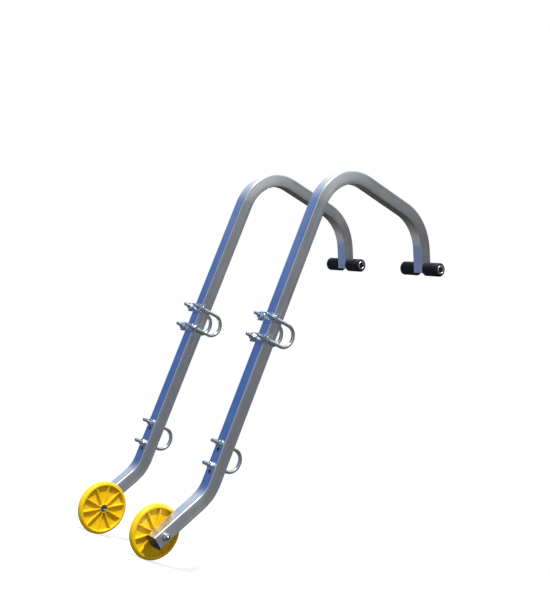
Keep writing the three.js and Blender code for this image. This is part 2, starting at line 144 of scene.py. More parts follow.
# =============================================================================================
# Materials
# =============================================================================================
class Nodes:
    """The node tree of a material or world. A socket, a number or a tuple can be any input."""

    def __init__(self, owner):
        self.owner = owner
        owner.use_nodes = True
        self.tree = owner.node_tree
        self.tree.nodes.clear()

    def put(self, socket, value):
        if value is None:
            return
        if isinstance(value, bpy.types.NodeSocket):
            self.tree.links.new(value, socket)
        elif isinstance(value, tuple) and len(value) == 3 and socket.type == "RGBA":
            socket.default_value = (*value, 1.0)
        else:
            socket.default_value = value

    def add(self, kind, inputs=None, **props):
        """Adds a node; inputs maps a socket's name or index to what goes in."""
        node = self.tree.nodes.new(kind)
        for key, value in props.items():
            setattr(node, key, value)
        for key, value in (inputs or {}).items():
            self.put(node.inputs[key], value)
        return node

    def object_place(self):
        return self.add("ShaderNodeTexCoord").outputs["Object"]

    def along_uv(self):
        return self.add("ShaderNodeUVMap", uv_map="along").outputs[0]

    def face_normal(self):
        return self.add("ShaderNodeNewGeometry").outputs["Normal"]

    def math(self, operation, a, b=None, clamp=False):
        node = self.add("ShaderNodeMath", {0: a, 1: b}, operation=operation, use_clamp=clamp)
        return node.outputs[0]

    def mul(self, a, b, clamp=False):
        return self.math("MULTIPLY", a, b, clamp)

    def plus(self, a, b, clamp=False):
        return self.math("ADD", a, b, clamp)

    def vmath(self, operation, a, b=None):
        node = self.add("ShaderNodeVectorMath", {0: a, 1: b}, operation=operation)
        return node.outputs["Value" if operation in ("DOT_PRODUCT", "LENGTH") else 0]

    def noise(self, vector, scale=1.0, stretch=None, *, detail, rough, distortion=0.0):
        """Noise; stretch scales each axis on its own first."""
        if stretch:
            vector = self.vmath("MULTIPLY", vector, stretch)
        inputs = {
            "Vector": vector,
            "Scale": scale,
            "Detail": detail,
            "Roughness": rough,
            "Distortion": distortion,
        }
        return self.add("ShaderNodeTexNoise", inputs).outputs[0]

    def voronoi(self, vector, scale):
        return self.add("ShaderNodeTexVoronoi", {"Vector": vector, "Scale": scale}).outputs["Distance"]

    def span(self, value, over, to=(0.0, 1.0), smooth=False):
        """Maps the range over onto the range to, clamped."""
        kind = "SMOOTHSTEP" if smooth else "LINEAR"
        inputs = dict(enumerate((value, *over, *to)))
        return self.add("ShaderNodeMapRange", inputs, interpolation_type=kind).outputs[0]

    def mix(self, factor, a, b):
        inputs = {0: factor, 6: a, 7: b}
        return self.add("ShaderNodeMix", inputs, data_type="RGBA", clamp_factor=True).outputs[2]

    def coats(self, colour, *coats):
        """Lays (amount, colour) coats over a colour, one after another."""
        for amount, coat in coats:
            colour = self.mix(amount, colour, coat)
        return colour

    def ramp(self, factor, stops):
        node = self.add("ShaderNodeValToRGB", {0: factor})
        elements = node.color_ramp.elements
        while len(elements) > 1:
            elements.remove(elements[-1])
        for i, (position, colour) in enumerate(stops):
            element = elements[0] if i == 0 else elements.new(position)
            element.position = position
            element.color = (*colour, 1.0)
        return node.outputs[0]

    def relief(self, *layers):
        """A normal bumped by (height, strength, distance in metres) layers, one after another."""
        normal = None
        for height, strength, distance in layers:
            inputs = {"Strength": strength, "Distance": distance, "Height": height, "Normal": normal}
            normal = self.add("ShaderNodeBump", inputs).outputs[0]
        return normal

    def edges(self, radius):
        """1 on sharp edges, 0 on open faces, from how far a rounded normal leans away."""
        bevel = self.add("ShaderNodeBevel", {"Radius": radius}, samples=6)
        lean = self.vmath("DOT_PRODUCT", bevel.outputs[0], self.face_normal())
        return self.span(lean, over=(0.995, 0.86))

    def crevice(self, distance):
        """0 in the open, 1 deep in a corner."""
        occlusion = self.add("ShaderNodeAmbientOcclusion", {"Distance": distance}, samples=6)
        return self.math("SUBTRACT", 1.0, occlusion.outputs["AO"])

    def surface(self, colour, rough, normal, metallic=0.0, **extra):
        """Ends the material in a Principled shader and returns the material."""
        inputs = {"Base Color": colour, "Metallic": metallic, "Roughness": rough, "Normal": normal}
        inputs.update({key.replace("_", " "): value for key, value in extra.items()})
        shader = self.add("ShaderNodeBsdfPrincipled", inputs)
        self.add("ShaderNodeOutputMaterial", {0: shader.outputs[0]})
        return self.owner


def new_material(name):
    return Nodes(bpy.data.materials.new(name))


def drawn_aluminium():
    """Mill-finish extrusion: die lines along the tube, soft bands, handling marks, a few nicks."""
    n = new_material("mill_aluminium")
    uv = n.along_uv()
    obj = n.object_place()
    fine = n.noise(uv, stretch=(9, 2600, 1), detail=3, rough=0.6)
    lines = n.noise(uv, stretch=(4, 620, 1), detail=2, rough=0.5)
    bands = n.noise(uv, stretch=(1.6, 105, 1), detail=2, rough=0.5)
    cloud = n.noise(obj, scale=22, detail=4, rough=0.6)
    smudge = n.noise(obj, scale=9, detail=3, rough=0.65, distortion=0.6)
    smudge = n.span(smudge, over=(0.5, 0.72), smooth=True)
    # sparse long scratches, slightly across the die lines
    turned = n.add("ShaderNodeVectorRotate", {"Vector": uv, "Angle": 0.16}, rotation_type="Z_AXIS")
    scratch = n.noise(turned.outputs[0], stretch=(26, 2100, 1), detail=1, rough=0.4)
    scratch = n.span(scratch, over=(0.735, 0.78))
    patches = n.noise(obj, scale=14, detail=2, rough=0.5)
    scratch = n.mul(scratch, n.span(patches, over=(0.5, 0.62), smooth=True))
    chips = n.noise(obj, scale=190, detail=3, rough=0.6)
    nick = n.mul(n.edges(0.0011), n.span(chips, over=(0.5, 0.64)))
    crevice_noise = n.noise(obj, scale=120, detail=4, rough=0.65)
    # painted shade: darker in corners, holes and between parts, from occlusion, with some grime
    crevice_shade_and_grime = n.mul(n.crevice(0.006), n.span(crevice_noise, over=(0.3, 0.7), to=(0.55, 1.0)))
    mottle = n.noise(obj, scale=260, detail=5, rough=0.7)
    # soil on the lowest part of the arm
    height = n.add("ShaderNodeSeparateXYZ", {0: obj}).outputs[2]
    low = n.span(height, over=(-0.395, -0.480))
    spots = n.noise(obj, scale=420, detail=4, rough=0.7)
    soil = n.mul(low, n.span(spots, over=(0.60, 0.70)))

    colour = n.coats(
        (0.770, 0.788, 0.815),
        (n.span(bands, over=(0.3, 0.7)), (0.885, 0.897, 0.915)),
        (n.span(lines, over=(0.25, 0.75), to=(0.0, 0.6)), (0.83, 0.842, 0.865)),
        (n.span(mottle, over=(0.42, 0.74), to=(0.0, 0.32)), (0.66, 0.67, 0.68)),
        (n.mul(smudge, 0.38), (0.70, 0.71, 0.73)),
        (n.mul(soil, 0.65), (0.30, 0.22, 0.15)),
        (n.mul(scratch, 0.5), (0.96, 0.965, 0.97)),
        (nick, (0.95, 0.955, 0.96)),
        # painted shade and grime, darker in corners and between parts
        (n.mul(crevice_shade_and_grime, 0.8, clamp=True), (0.20, 0.185, 0.17)),
    )
    rough = n.span(bands, over=(0.3, 0.7), to=(0.26, 0.35))
    rough = n.plus(rough, n.span(cloud, over=(0.3, 0.7), to=(-0.03, 0.04)))
    rough = n.plus(rough, n.mul(smudge, 0.09))
    rough = n.plus(rough, n.mul(crevice_shade_and_grime, 0.3), clamp=True)
    rough = n.plus(rough, n.mul(soil, 0.3), clamp=True)
    normal = n.relief(
        (fine, 0.22, 0.00003),
        (lines, 0.22, 0.00010),
        (mottle, 0.10, 0.00008),
        (n.mul(scratch, -1.0), 0.25, 0.00004),
        (cloud, 0.10, 0.00035),
    )
    tangent = n.add("ShaderNodeTangent", direction_type="UV_MAP", uv_map="along").outputs[0]
    return n.surface(
        colour,
        rough,
        normal,
        metallic=1.0,
        Tangent=tangent,
        Anisotropic=0.6,
        Anisotropic_Rotation=0.25,
    )


def sawn_aluminium():
    """Cut round tube: die lines on the outside, saw rings on the ends, a bore darkened by painted
    shade.
    """
    n = new_material("sawn_aluminium")
    uv = n.along_uv()
    obj = n.object_place()
    facing_x = n.math("ABSOLUTE", n.vmath("DOT_PRODUCT", n.face_normal(), (1, 0, 0)))
    end = n.span(facing_x, over=(0.8, 0.95))
    saw = n.noise(obj, stretch=(60, 60, 2600), detail=2, rough=0.5)
    lines = n.noise(uv, stretch=(5, 900, 1), detail=3, rough=0.6)
    stain = n.noise(obj, scale=140, detail=4, rough=0.6)
    colour = n.coats(
        (0.80, 0.805, 0.81),
        (n.span(lines, over=(0.3, 0.7)), (0.89, 0.89, 0.885)),
        (n.mul(end, n.span(saw, over=(0.35, 0.65), to=(0.65, 0.95))), (0.40, 0.395, 0.385)),
        (n.span(stain, over=(0.52, 0.78), to=(0.0, 0.4)), (0.52, 0.50, 0.48)),
        # painted shade: darker in the bore and corners, from occlusion
        (n.mul(n.crevice(0.010), 0.45, clamp=True), (0.30, 0.285, 0.27)),
    )
    rough = n.span(end, over=(0, 1), to=(0.30, 0.42))
    rough = n.plus(rough, n.span(stain, over=(0.3, 0.7), to=(-0.05, 0.08)))
    normal = n.relief((lines, 0.2, 0.00006), (n.mul(saw, end), 0.35, 0.00008))
    return n.surface(colour, rough, normal, metallic=1.0)


def zinc(name, base, rough, grain=None, tint=1.0):
    """Zinc plate: faint blue and straw passivation, pitting, bright worn edges, painted shade and
    grime in corners.

    rough is its range, grain the stretch of brushing marks if any, tint the strength of stains.
    """
    n = new_material(name)
    obj = n.object_place()
    cloud = n.noise(obj, scale=110, detail=4, rough=0.6)
    passivation = n.noise(obj, scale=48, detail=2, rough=0.5, distortion=0.8)
    pits = n.voronoi(obj, scale=1500)
    speck = n.noise(obj, scale=900, detail=4, rough=0.7)
    blue, straw = (
        tuple(c * f for c, f in zip(base, shift)) for shift in ((0.93, 1.0, 1.05), (1.03, 1.0, 0.91))
    )
    edge = n.mul(n.edges(0.0005), n.span(cloud, over=(0.3, 0.6), to=(0.4, 1.0)))
    # painted shade: darker in corners and between parts, from occlusion, with some grime
    crevice_shade_and_grime = n.mul(n.crevice(0.0025), n.span(speck, over=(0.3, 0.6), to=(0.6, 1.0)))
    colour = n.coats(
        blue,
        (n.span(passivation, over=(0.34, 0.66)), straw),
        (n.span(cloud, over=(0.42, 0.75), to=(0.0, 0.45 * tint)), (0.56, 0.60, 0.63)),
        (n.span(speck, over=(0.60, 0.75), to=(0.0, 0.4 * tint)), (0.40, 0.41, 0.42)),
        (edge, (0.93, 0.94, 0.945)),
        (n.mul(crevice_shade_and_grime, 0.85, clamp=True), (0.10, 0.095, 0.085)),
    )
    rough = n.plus(n.span(cloud, over=(0.3, 0.7), to=rough), n.mul(crevice_shade_and_grime, 0.35), clamp=True)
    layers = [(pits, 0.10, 0.00004), (cloud, 0.12, 0.00012)]
    if grain:
        brushed = n.noise(obj, stretch=grain, detail=3, rough=0.6)
        amount = n.span(brushed, over=(0.3, 0.7), to=(0.0, 0.35))
        colour = n.mix(amount, colour, (0.66, 0.70, 0.75))
        layers.append((brushed, 0.22, 0.00006))
    return n.surface(colour, rough, n.relief(*layers), metallic=1.0)


def wheel_plastic():
    """Moulded yellow polypropylene: fine grain, flow marks, scuffed tread, rubbed rib tops."""
    n = new_material("yellow_polypropylene")
    uv = n.along_uv()  # x: along the section, y: around the wheel
    obj = n.object_place()
    radius = n.vmath("LENGTH", n.vmath("MULTIPLY", obj, (0, 1, 1)))
    cloud = n.noise(obj, scale=34, detail=3, rough=0.55)
    flow = n.noise(uv, stretch=(22, 210, 1), detail=3, rough=0.55, distortion=0.4)
    grain = n.noise(obj, scale=2300, detail=3, rough=0.6)
    tread = n.span(radius, over=(0.0562, 0.0578), smooth=True)
    scuff = n.noise(uv, stretch=(900, 26, 1), detail=4, rough=0.65)
    scuff = n.mul(tread, n.span(scuff, over=(0.47, 0.68)))
    rub = n.noise(obj, scale=160, detail=3, rough=0.6)
    edge = n.mul(n.edges(0.0007), n.span(rub, over=(0.35, 0.6), to=(0.25, 1.0)))
    crevice_noise = n.noise(obj, scale=75, detail=4, rough=0.65)
    # painted shade: pockets and corners darker orange, from occlusion
    dust_and_crevice_shade = n.mul(n.crevice(0.008), n.span(crevice_noise, over=(0.35, 0.7), to=(0.3, 1.0)))
    colour = n.coats(
        (0.870, 0.535, 0.0028),
        (n.span(cloud, over=(0.32, 0.68)), (0.940, 0.612, 0.0040)),
        (n.span(flow, over=(0.35, 0.70), to=(0.0, 0.30)), (0.960, 0.675, 0.007)),
        (n.mul(edge, 0.55), (1.0, 0.80, 0.06)),
        # painted shade in the pockets and corners
        (n.mul(dust_and_crevice_shade, 0.55), (0.50, 0.275, 0.006)),
        (n.mul(scuff, 0.42), (0.50, 0.36, 0.09)),
    )
    rough = n.span(cloud, over=(0.3, 0.7), to=(0.30, 0.40))
    rough = n.plus(rough, n.mul(scuff, 0.25))
    rough = n.plus(rough, n.mul(dust_and_crevice_shade, 0.2))
    normal = n.relief(
        (grain, 0.14, 0.00004),
        (flow, 0.07, 0.00020),
        (n.mul(scuff, -1.0), 0.25, 0.00012),
    )
    return n.surface(colour, rough, normal, IOR=1.49, Specular_IOR_Level=0.36)


def rubber():
    """Black rubber sleeve: matt, fine grain, rubbed crests and a little pale dust on top."""
    n = new_material("black_rubber")
    obj = n.object_place()
    grain = n.noise(obj, scale=1900, detail=4, rough=0.65)
    cloud = n.noise(obj, scale=70, detail=4, rough=0.6)
    streak = n.noise(obj, stretch=(30, 420, 420), detail=3, rough=0.6)
    up = n.vmath("DOT_PRODUCT", n.face_normal(), (0, -0.25, 0.97))
    dust_and_crevice_shade = n.mul(n.span(up, over=(0.1, 1.0)), n.span(cloud, over=(0.38, 0.72)))
    edge = n.mul(n.edges(0.0007), n.span(streak, over=(0.35, 0.65), to=(0.2, 1.0)))
    colour = n.coats(
        (0.0040, 0.0044, 0.0054),
        (n.span(cloud, over=(0.3, 0.7)), (0.0090, 0.0095, 0.0115)),
        (n.mul(dust_and_crevice_shade, 0.22), (0.022, 0.026, 0.034)),
        (n.mul(edge, 0.4), (0.022, 0.024, 0.027)),
    )
    rough = n.plus(n.span(streak, over=(0.3, 0.7), to=(0.40, 0.54)), n.mul(dust_and_crevice_shade, 0.2))
    normal = n.relief((grain, 0.30, 0.00008), (streak, 0.15, 0.00012))
    return n.surface(colour, rough, normal, IOR=1.50, Specular_IOR_Level=0.30)


def cap_plastic():
    """Black moulded plug: spark-eroded texture and paler worn edges."""
    n = new_material("black_moulded_plastic")
    obj = n.object_place()
    texture = n.voronoi(obj, scale=1300)
    grain = n.noise(obj, scale=1500, detail=4, rough=0.7)
    cloud = n.noise(obj, scale=90, detail=4, rough=0.6)
    wear = n.noise(obj, scale=260, detail=3, rough=0.6)
    edge = n.mul(n.edges(0.0009), n.span(wear, over=(0.4, 0.65), to=(0.15, 1.0)))
    colour = n.coats(
        (0.0085, 0.0070, 0.0055),
        (n.span(cloud, over=(0.3, 0.7)), (0.0190, 0.0160, 0.0125)),
        (n.mul(edge, 0.6), (0.060, 0.055, 0.048)),
        (n.span(grain, over=(0.6, 0.8), to=(0.0, 0.3)), (0.045, 0.040, 0.034)),
    )
    rough = n.span(cloud, over=(0.3, 0.7), to=(0.42, 0.56))
    normal = n.relief((texture, 0.22, 0.00010), (grain, 0.15, 0.00006))
    return n.surface(colour, rough, normal, IOR=1.5)


def nylon():
    """Off-white lock ring in the axle nut."""
    n = new_material("nylon_ring")
    cloud = n.noise(n.object_place(), scale=300, detail=4, rough=0.6)
    colour = n.coats(
        (0.42, 0.43, 0.42),
        (n.span(cloud, over=(0.3, 0.7)), (0.62, 0.63, 0.61)),
        # painted shade: darker in the ring's corners, from occlusion
        (n.mul(n.crevice(0.002), 0.7), (0.12, 0.11, 0.10)),
    )
    rough = n.span(cloud, over=(0.3, 0.7), to=(0.35, 0.5))
    return n.surface(colour, rough, n.relief((cloud, 0.2, 0.0001)), IOR=1.52)


BRIGHT = (0.80, 0.84, 0.86)
MATERIAL = {
    "arm_aluminium": drawn_aluminium(),
    "cross_tube_aluminium": sawn_aluminium(),
    "pad_rubber": rubber(),
    "cap_plastic": cap_plastic(),
    "wheel_plastic": wheel_plastic(),
    "rivet_aluminium": zinc("rivet_satin", (0.74, 0.76, 0.79), rough=(0.24, 0.38), tint=0.6),
    "plate_steel": zinc(
        "zinc_plate", (0.75, 0.80, 0.86), rough=(0.20, 0.34), grain=(55, 1200, 1200)
    ),
    "sleeve_steel": zinc(
        "turned_steel", (0.70, 0.71, 0.72), rough=(0.22, 0.36), grain=(2400, 60, 60), tint=0.7
    ),
    "ubolt_steel": zinc("zinc_rod", BRIGHT, rough=(0.12, 0.24)),
    "fastener_steel": zinc("zinc_fastener", BRIGHT, rough=(0.12, 0.26)),
}
# the bolt's head and the washer under it sit in the wheel's recess; their dark colours are painted
# shade of the recess, and the washer is grimy as well
LOOK = {
    "axle_bolt": zinc("dulled_zinc_bolt", (0.27, 0.31, 0.36), rough=(0.14, 0.28)),
    "axle_head_washer": zinc(
        "dirty_zinc_washer", (0.16, 0.155, 0.15), rough=(0.34, 0.48), tint=1.3
    ),
}
NYLON = nylon()


# =============================================================================================
# Mesh builders
# =============================================================================================
@contextmanager
def editing(me):
    """Opens a mesh as a bmesh and writes it back."""
    bm = bmesh.new()
    bm.from_mesh(me)
    yield bm
    bm.to_mesh(me)
    bm.free()


def merge_close(bm, distance):
    """Merges vertices closer than distance, in metres."""
    bmesh.ops.remove_doubles(bm, verts=bm.verts, dist=distance)
    bmesh.ops.dissolve_degenerate(bm, edges=bm.edges, dist=1e-6)


def link(name, me):
    obj = bpy.data.objects.new(name, me)
    bpy.context.scene.collection.objects.link(obj)
    return obj


class Build:
    """A closed mesh in millimetres, with an (along, around) UV in metres at each corner."""

    def __init__(self):
        self.verts, self.faces, self.uvs, self.mats = [], [], [], []

    def face(self, indices, uvs, mat=0):
        self.faces.append(tuple(indices))
        self.uvs.append(tuple(uvs))
        self.mats.append(mat)

    def rings(self, rows, around=None, closed=False, cap0=False, cap1=False, mats=None):
        """Joins rings of points one after another; closed joins the last ring to the first.

        A cap is a fan to the ring's middle, or to the point given. mats has one index per ring.
        """
        n = len(rows[0])
        base = len(self.verts)
        for row in rows:
            self.verts.extend(tuple(p) for p in row)
        if around is None:
            around = [0.0]
            for j in range(n):
                side = Vector(rows[0][(j + 1) % n]) - Vector(rows[0][j])
                around.append(around[-1] + side.length * MM)
        along = [0.0]
        for row, following in zip(rows, rows[1:] + ([rows[0]] if closed else [])):
            steps = sum((Vector(p) - Vector(q)).length for p, q in zip(row, following))
            along.append(along[-1] + steps / n * MM)
        for i in range(len(rows) if closed else len(rows) - 1):
            k = (i + 1) % len(rows)
            for j in range(n):
                l = (j + 1) % n
                self.face(
                    (base + i * n + j, base + i * n + l, base + k * n + l, base + k * n + j),
                    (
                        (along[i], around[j]),
                        (along[i], around[j + 1]),
                        (along[i + 1], around[j + 1]),
                        (along[i + 1], around[j]),
                    ),
                    mats[i] if mats else 0,
                )
        for cap, i, flip in ((cap0, 0, True), (cap1, len(rows) - 1, False)):
            if not cap:
                continue
            middle = cap
            if cap is True:
                middle = sum((Vector(p) for p in rows[i]), Vector()) / n
            self.verts.append(tuple(middle))
            hub = len(self.verts) - 1
            for j in range(n):
                l = (j + 1) % n
                tri = (base + i * n + j, base + i * n + l, hub)
                uv = (
                    (along[i], around[j]),
                    (along[i], around[j + 1]),
                    (along[i] + 0.004, (around[j] + around[j + 1]) / 2),
                )
                if flip:
                    tri, uv = tri[::-1], uv[::-1]
                self.face(tri, uv)

    def object(self, node, matrix=None, angle=32, weld=False):
        """Makes the object <node>_fine, its faces turned outwards."""
        name = node + "_fine"
        matrix = matrix or Matrix.Identity(4)
        points = [matrix @ Vector(p) for p in self.verts]
        volume = 0.0
        for f in self.faces:
            first = points[f[0]]
            for i in range(1, len(f) - 1):
                volume += first.dot(points[f[i]].cross(points[f[i + 1]]))
        faces, uvs = self.faces, self.uvs
        if volume < 0:
            faces = [f[::-1] for f in faces]
            uvs = [uv[::-1] for uv in uvs]
        me = bpy.data.meshes.new(name)
        me.from_pydata([p * MM for p in points], [], faces)
        layer = me.uv_layers.new(name="along")
        layer.data.foreach_set("uv", [c for uv in uvs for corner in uv for c in corner])
        me.polygons.foreach_set("material_index", self.mats)
        if weld:
            with editing(me) as bm:
                merge_close(bm, 2e-6)
        shade(me, angle)
        return link(name, me)


def shade(me, angle):
    me.shade_smooth()
    me.set_sharp_from_angle(angle=angle * DEG)
    me.update()


def apply_modifiers(obj):
    bpy.context.view_layer.update()
    graph = bpy.context.evaluated_depsgraph_get()
    me = bpy.data.meshes.new_from_object(
        obj.evaluated_get(graph), preserve_all_data_layers=True, depsgraph=graph
    )
    obj.modifiers.clear()
    old = obj.data
    obj.data = me
    bpy.data.meshes.remove(old)


def combine(obj, others, operation):
    """Cuts the others out of obj or joins them to it, and removes them."""
    for other in others:
        mod = obj.modifiers.new("combine", "BOOLEAN")
        mod.operation, mod.solver, mod.object = operation, "EXACT", other
    apply_modifiers(obj)
    for other in others:
        bpy.data.objects.remove(other)


def cut(obj, cutters):
    """Takes the cutters out of obj, then weights its normals so that flats stay flat."""
    combine(obj, cutters, "DIFFERENCE")
    with editing(obj.data) as bm:
        merge_close(bm, 1e-6)
        drop_sheets(bm)
    weigh(obj)


def drop_sheets(bm):
    """Removes sheets that a cut left across a hole: faces joined to the body only along
    edges of three faces."""
    if all(len(e.link_faces) == 2 for e in bm.edges):
        return
    left, groups = set(bm.faces), []
    while left:
        group = [left.pop()]
        stack = list(group)
        while stack:
            for e in stack.pop().edges:
                for f in e.link_faces if len(e.link_faces) == 2 else ():
                    if f in left:
                        left.remove(f)
                        group.append(f)
                        stack.append(f)
        groups.append(group)
    groups.sort(key=len, reverse=True)
    bmesh.ops.delete(bm, geom=[f for g in groups[1:] for f in g], context="FACES")


def weigh(obj, angle=32):
    shade(obj.data, angle)
    mod = obj.modifiers.new("weigh", "WEIGHTED_NORMAL")
    mod.mode, mod.weight, mod.keep_sharp = "FACE_AREA", 100, True
    apply_modifiers(obj)


def place(node, obj, extra=()):
    """Rides the piece on the node's body, in place of the node, with the node's material."""
    slot = NODE_SLOT[node]
    obj.data.materials.clear()
    for m in (LOOK.get(node.split("_", 1)[1], MATERIAL[slot]), *extra):
        obj.data.materials.append(m)
    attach(obj, NODE_BODY[node])
    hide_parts(node)
    bpy.context.view_layer.update()


# ---- outlines and simple solids -------------------------------------------------------------
def rounded_square(half, radius, corner=6, flat=4):
    """Points round a square, anticlockwise from the middle of the right side."""
    out = []
    run = half - radius
    for k in range(4):
        c, s = math.cos(90 * k * DEG), math.sin(90 * k * DEG)
        # up this side from its middle, round the corner, and on to the next side's middle
        points = [(half, run * i / (flat // 2)) for i in range(flat // 2)]
        for i in range(corner + 1):
            a = 90 * i / corner * DEG
            points.append((run + radius * math.cos(a), run + radius * math.sin(a)))
        points += [(run * (1 - i / (flat // 2)), half) for i in range(1, flat // 2)]
        out += [(c * x - s * y, s * x + c * y) for x, y in points]
    return out


def circle(radius, n):
    turns = [2 * math.pi * i / n for i in range(n)]
    return [(radius * math.cos(a), radius * math.sin(a)) for a in turns]


def rounded_hexagon():
    """Points round a nut's hexagon, its corners slightly rounded, with a flat facing +X."""
    radius, corner, flat = 0.35, 4, 6
    apothem = NUT_FLATS / 2
    half = apothem * math.tan(30 * DEG) - radius * math.tan(30 * DEG)
    points = [(apothem, -half + 2 * half * i / flat) for i in range(flat + 1)]
    for i in range(1, corner):
        a = 60 * i / corner * DEG
        points.append((apothem - radius + radius * math.cos(a), half + radius * math.sin(a)))
    out = []
    for k in range(6):
        c, s = math.cos(60 * k * DEG), math.sin(60 * k * DEG)
        out += [(c * x - s * y, s * x + c * y) for x, y in points]
    return out


def round_ring(outline, radius, z):
    """The outline's points moved out or in to a circle."""
    return [(radius * x / math.hypot(x, y), radius * y / math.hypot(x, y), z) for x, y in outline]


def cone_ring(outline, z, start, slope, share=1.0):
    """The outline scaled by share, on a cone that leaves height z outside the radius start."""
    return [
        (x * share, y * share, z + max(0.0, math.hypot(x, y) * share - start) * slope)
        for x, y in outline
    ]


def lathe(profile, n=64, closed=True):
    """A solid of revolution about Z from (z, r) pairs."""
    build = Build()
    top = max(r for _, r in profile)
    around = [2 * math.pi * top * MM * j / n for j in range(n + 1)]
    rows = [[(x, y, z) for x, y in circle(r, n)] for z, r in profile]
    build.rings(rows, around, closed=closed, cap0=not closed, cap1=not closed)
    return build


def hex_nut(height, collar=0.0):
    """A chamfered nut about Z, centred; a collar holds a nylon ring at its +Z end."""
    hexagon = rounded_hexagon()
    bore = NUT_BORE_R
    start = NUT_FLATS / 2 * 0.955
    bottom, top = -height / 2, height / 2 - collar
    slope = math.tan(27 * DEG)
    rows = [
        round_ring(hexagon, bore + 0.55, bottom),
        round_ring(hexagon, start, bottom),
        cone_ring(hexagon, bottom, start, slope, share=0.985),
        cone_ring(hexagon, bottom + 0.10, start, slope),
        cone_ring(hexagon, top - 0.10, start, -slope),
        cone_ring(hexagon, top, start, -slope, share=0.985),
    ]
    mats = None
    if collar:
        rim = NUT_FLATS / 2 * 0.90
        inside = [  # (r, z)
            (start, top),
            (rim + 0.25, top + 0.05),
            (rim, top + 0.3),
            (rim, top + collar * 0.55),
            (rim - 0.35, top + collar * 0.85),
            (rim - 1.0, top + collar),
            (rim - 1.25, top + collar * 0.92),
            (bore + 0.35, top + collar * 0.80),
            (bore, top + collar * 0.6),
            (bore, bottom + 0.6),
        ]
        mats = [0] * 11 + [1] * 3 + [0] * 2
    else:
        inside = [(start, top), (bore + 0.55, top), (bore, top - 0.6), (bore, bottom + 0.6)]
    rows += [round_ring(hexagon, r, z) for r, z in inside]
    build = Build()
    build.rings(rows, closed=True, mats=mats)
    return build


def washer(diameter):
    """A punched washer about Z: rolled edge on one side, sharp on the other."""
    rim, bore, half = diameter / 2, WASHER_BORE_R, WASHER_T / 2
    profile = [
        (-half, bore + 0.10),
        (-half, rim - 0.12),
        (-half + 0.12, rim),
        (half - 0.50, rim),
        (half - 0.18, rim - 0.10),
        (half - 0.02, rim - 0.42),
        (half, rim - 0.75),
        (half, bore + 0.45),
        (half - 0.25, bore + 0.08),
        (half - 0.45, bore),
        (-half + 0.12, bore),
    ]
    return lathe(profile, 72)


# ---- threads --------------------------------------------------------------------------------
PITCH = 1.25
THREAD_DEPTH = 0.66
TIP_CHAMFER = 0.95
THREAD = [(0.0, 1.0), (0.22, 1.0), (0.54, 0.0), (0.68, 0.0)]  # (share of pitch, share of depth)


def add_thread(build, to_point, z_start, z_tip):
    """Adds a rolled thread and its chamfered end about Z; to_point(z, x, y) moves each point."""
    n = ROD_SIDES
    tip_r = ROD_R - TIP_CHAMFER
    index = {}

    def add_vertex(z, j, r):
        a = 2 * math.pi * j / n
        build.verts.append(tuple(to_point(z, r * math.cos(a), r * math.sin(a))))
        return len(build.verts) - 1

    def vertex(i, j):
        """The vertex on helix i at side j, and its height; a full turn leads to the next helix."""
        while j >= n:
            i, j = i + 4, j - n
        key = (i, j)
        if key in index:
            return index[key]
        share, below = THREAD[i % 4]
        z = z_start + PITCH * (i // 4 - 1 + share + j / n)
        run_in = max(0.0, min(1.0, (z - z_start) / (1.6 * PITCH)))
        r = ROD_R - THREAD_DEPTH * below * run_in
        if z <= z_start:
            z, r = z_start, ROD_R
        r = min(r, tip_r + max(0.0, z_tip - z) * 0.95)
        if z >= z_tip:
            z, r = z_tip, tip_r
        index[key] = (add_vertex(z, j, r), z)
        return index[key]

    girth = 2 * math.pi * ROD_R * MM
    for i in range(4 * (math.ceil((z_tip - z_start) / PITCH) + 2)):
        for j in range(n):
            quad = [vertex(i, j), vertex(i, j + 1), vertex(i + 1, j + 1), vertex(i + 1, j)]
            heights = [z for _, z in quad]
            if max(heights) <= z_start + 1e-9 or min(heights) >= z_tip - 1e-9:
                continue
            turns = (j, j + 1, j + 1, j)
            uv = [(z * MM, girth * k / n) for z, k in zip(heights, turns)]
            build.face([k for k, _ in quad], uv)
    # end face, slightly domed
    ring = [add_vertex(z_tip, j, tip_r) for j in range(n)]
    inner = [add_vertex(z_tip + 0.12, j, tip_r * 0.6) for j in range(n)]
    middle = add_vertex(z_tip + 0.16, 0, 0.0)
    corners = ((0, 0), (0.001, 0), (0.001, 0.001), (0, 0.001))
    for j in range(n):
        l = (j + 1) % n
        build.face((ring[j], ring[l], inner[l], inner[j]), corners)
        build.face((inner[j], inner[l], middle), corners[:3])


def face_outwards(me):
    with editing(me) as bm:
        bmesh.ops.recalc_face_normals(bm, faces=bm.faces)


def u_bolt(node, matrix):
    """Bow and two legs, rolled threads over the outer 33 mm of each leg."""
    thread_y = LEG_TIP_Y + 33.0
    straight = (thread_y, -8.0, 2.0, BOW_Y - 4)
    steps = 40
    # (y, z, y and z of the direction across the rod) from the upper leg round to the lower
    path = [(y, LEG_OFFSET, 0, -1) for y in straight]
    for i in range(steps + 1):
        a = math.pi / 2 - math.pi * i / steps
        c, s = math.cos(a), math.sin(a)
        path.append((BOW_Y + LEG_OFFSET * c, LEG_OFFSET * s, -c, -s))
    path += [(y, -LEG_OFFSET, 0, 1) for y in straight[::-1]]
    section = circle(ROD_R, ROD_SIDES)
    build = Build()
    build.rings([[(p, y + dy * q, z + dz * q) for p, q in section] for y, z, dy, dz in path])
    for leg_z in (LEG_OFFSET, -LEG_OFFSET):
        add_thread(build, lambda z, x, y: (x, -z, leg_z + y), -thread_y, -LEG_TIP_Y)
    obj = build.object(node, matrix, angle=28, weld=True)
    face_outwards(obj.data)
    shade(obj.data, 28)
    place(node, obj)


# ---- the arm's centreline -------------------------------------------------------------------
def bend_share(i, steps):
    """0 at a bend's ends, 1 at its middle."""
    return math.sin(math.pi * i / steps) ** 0.5 if 0 < i < steps else 0.0


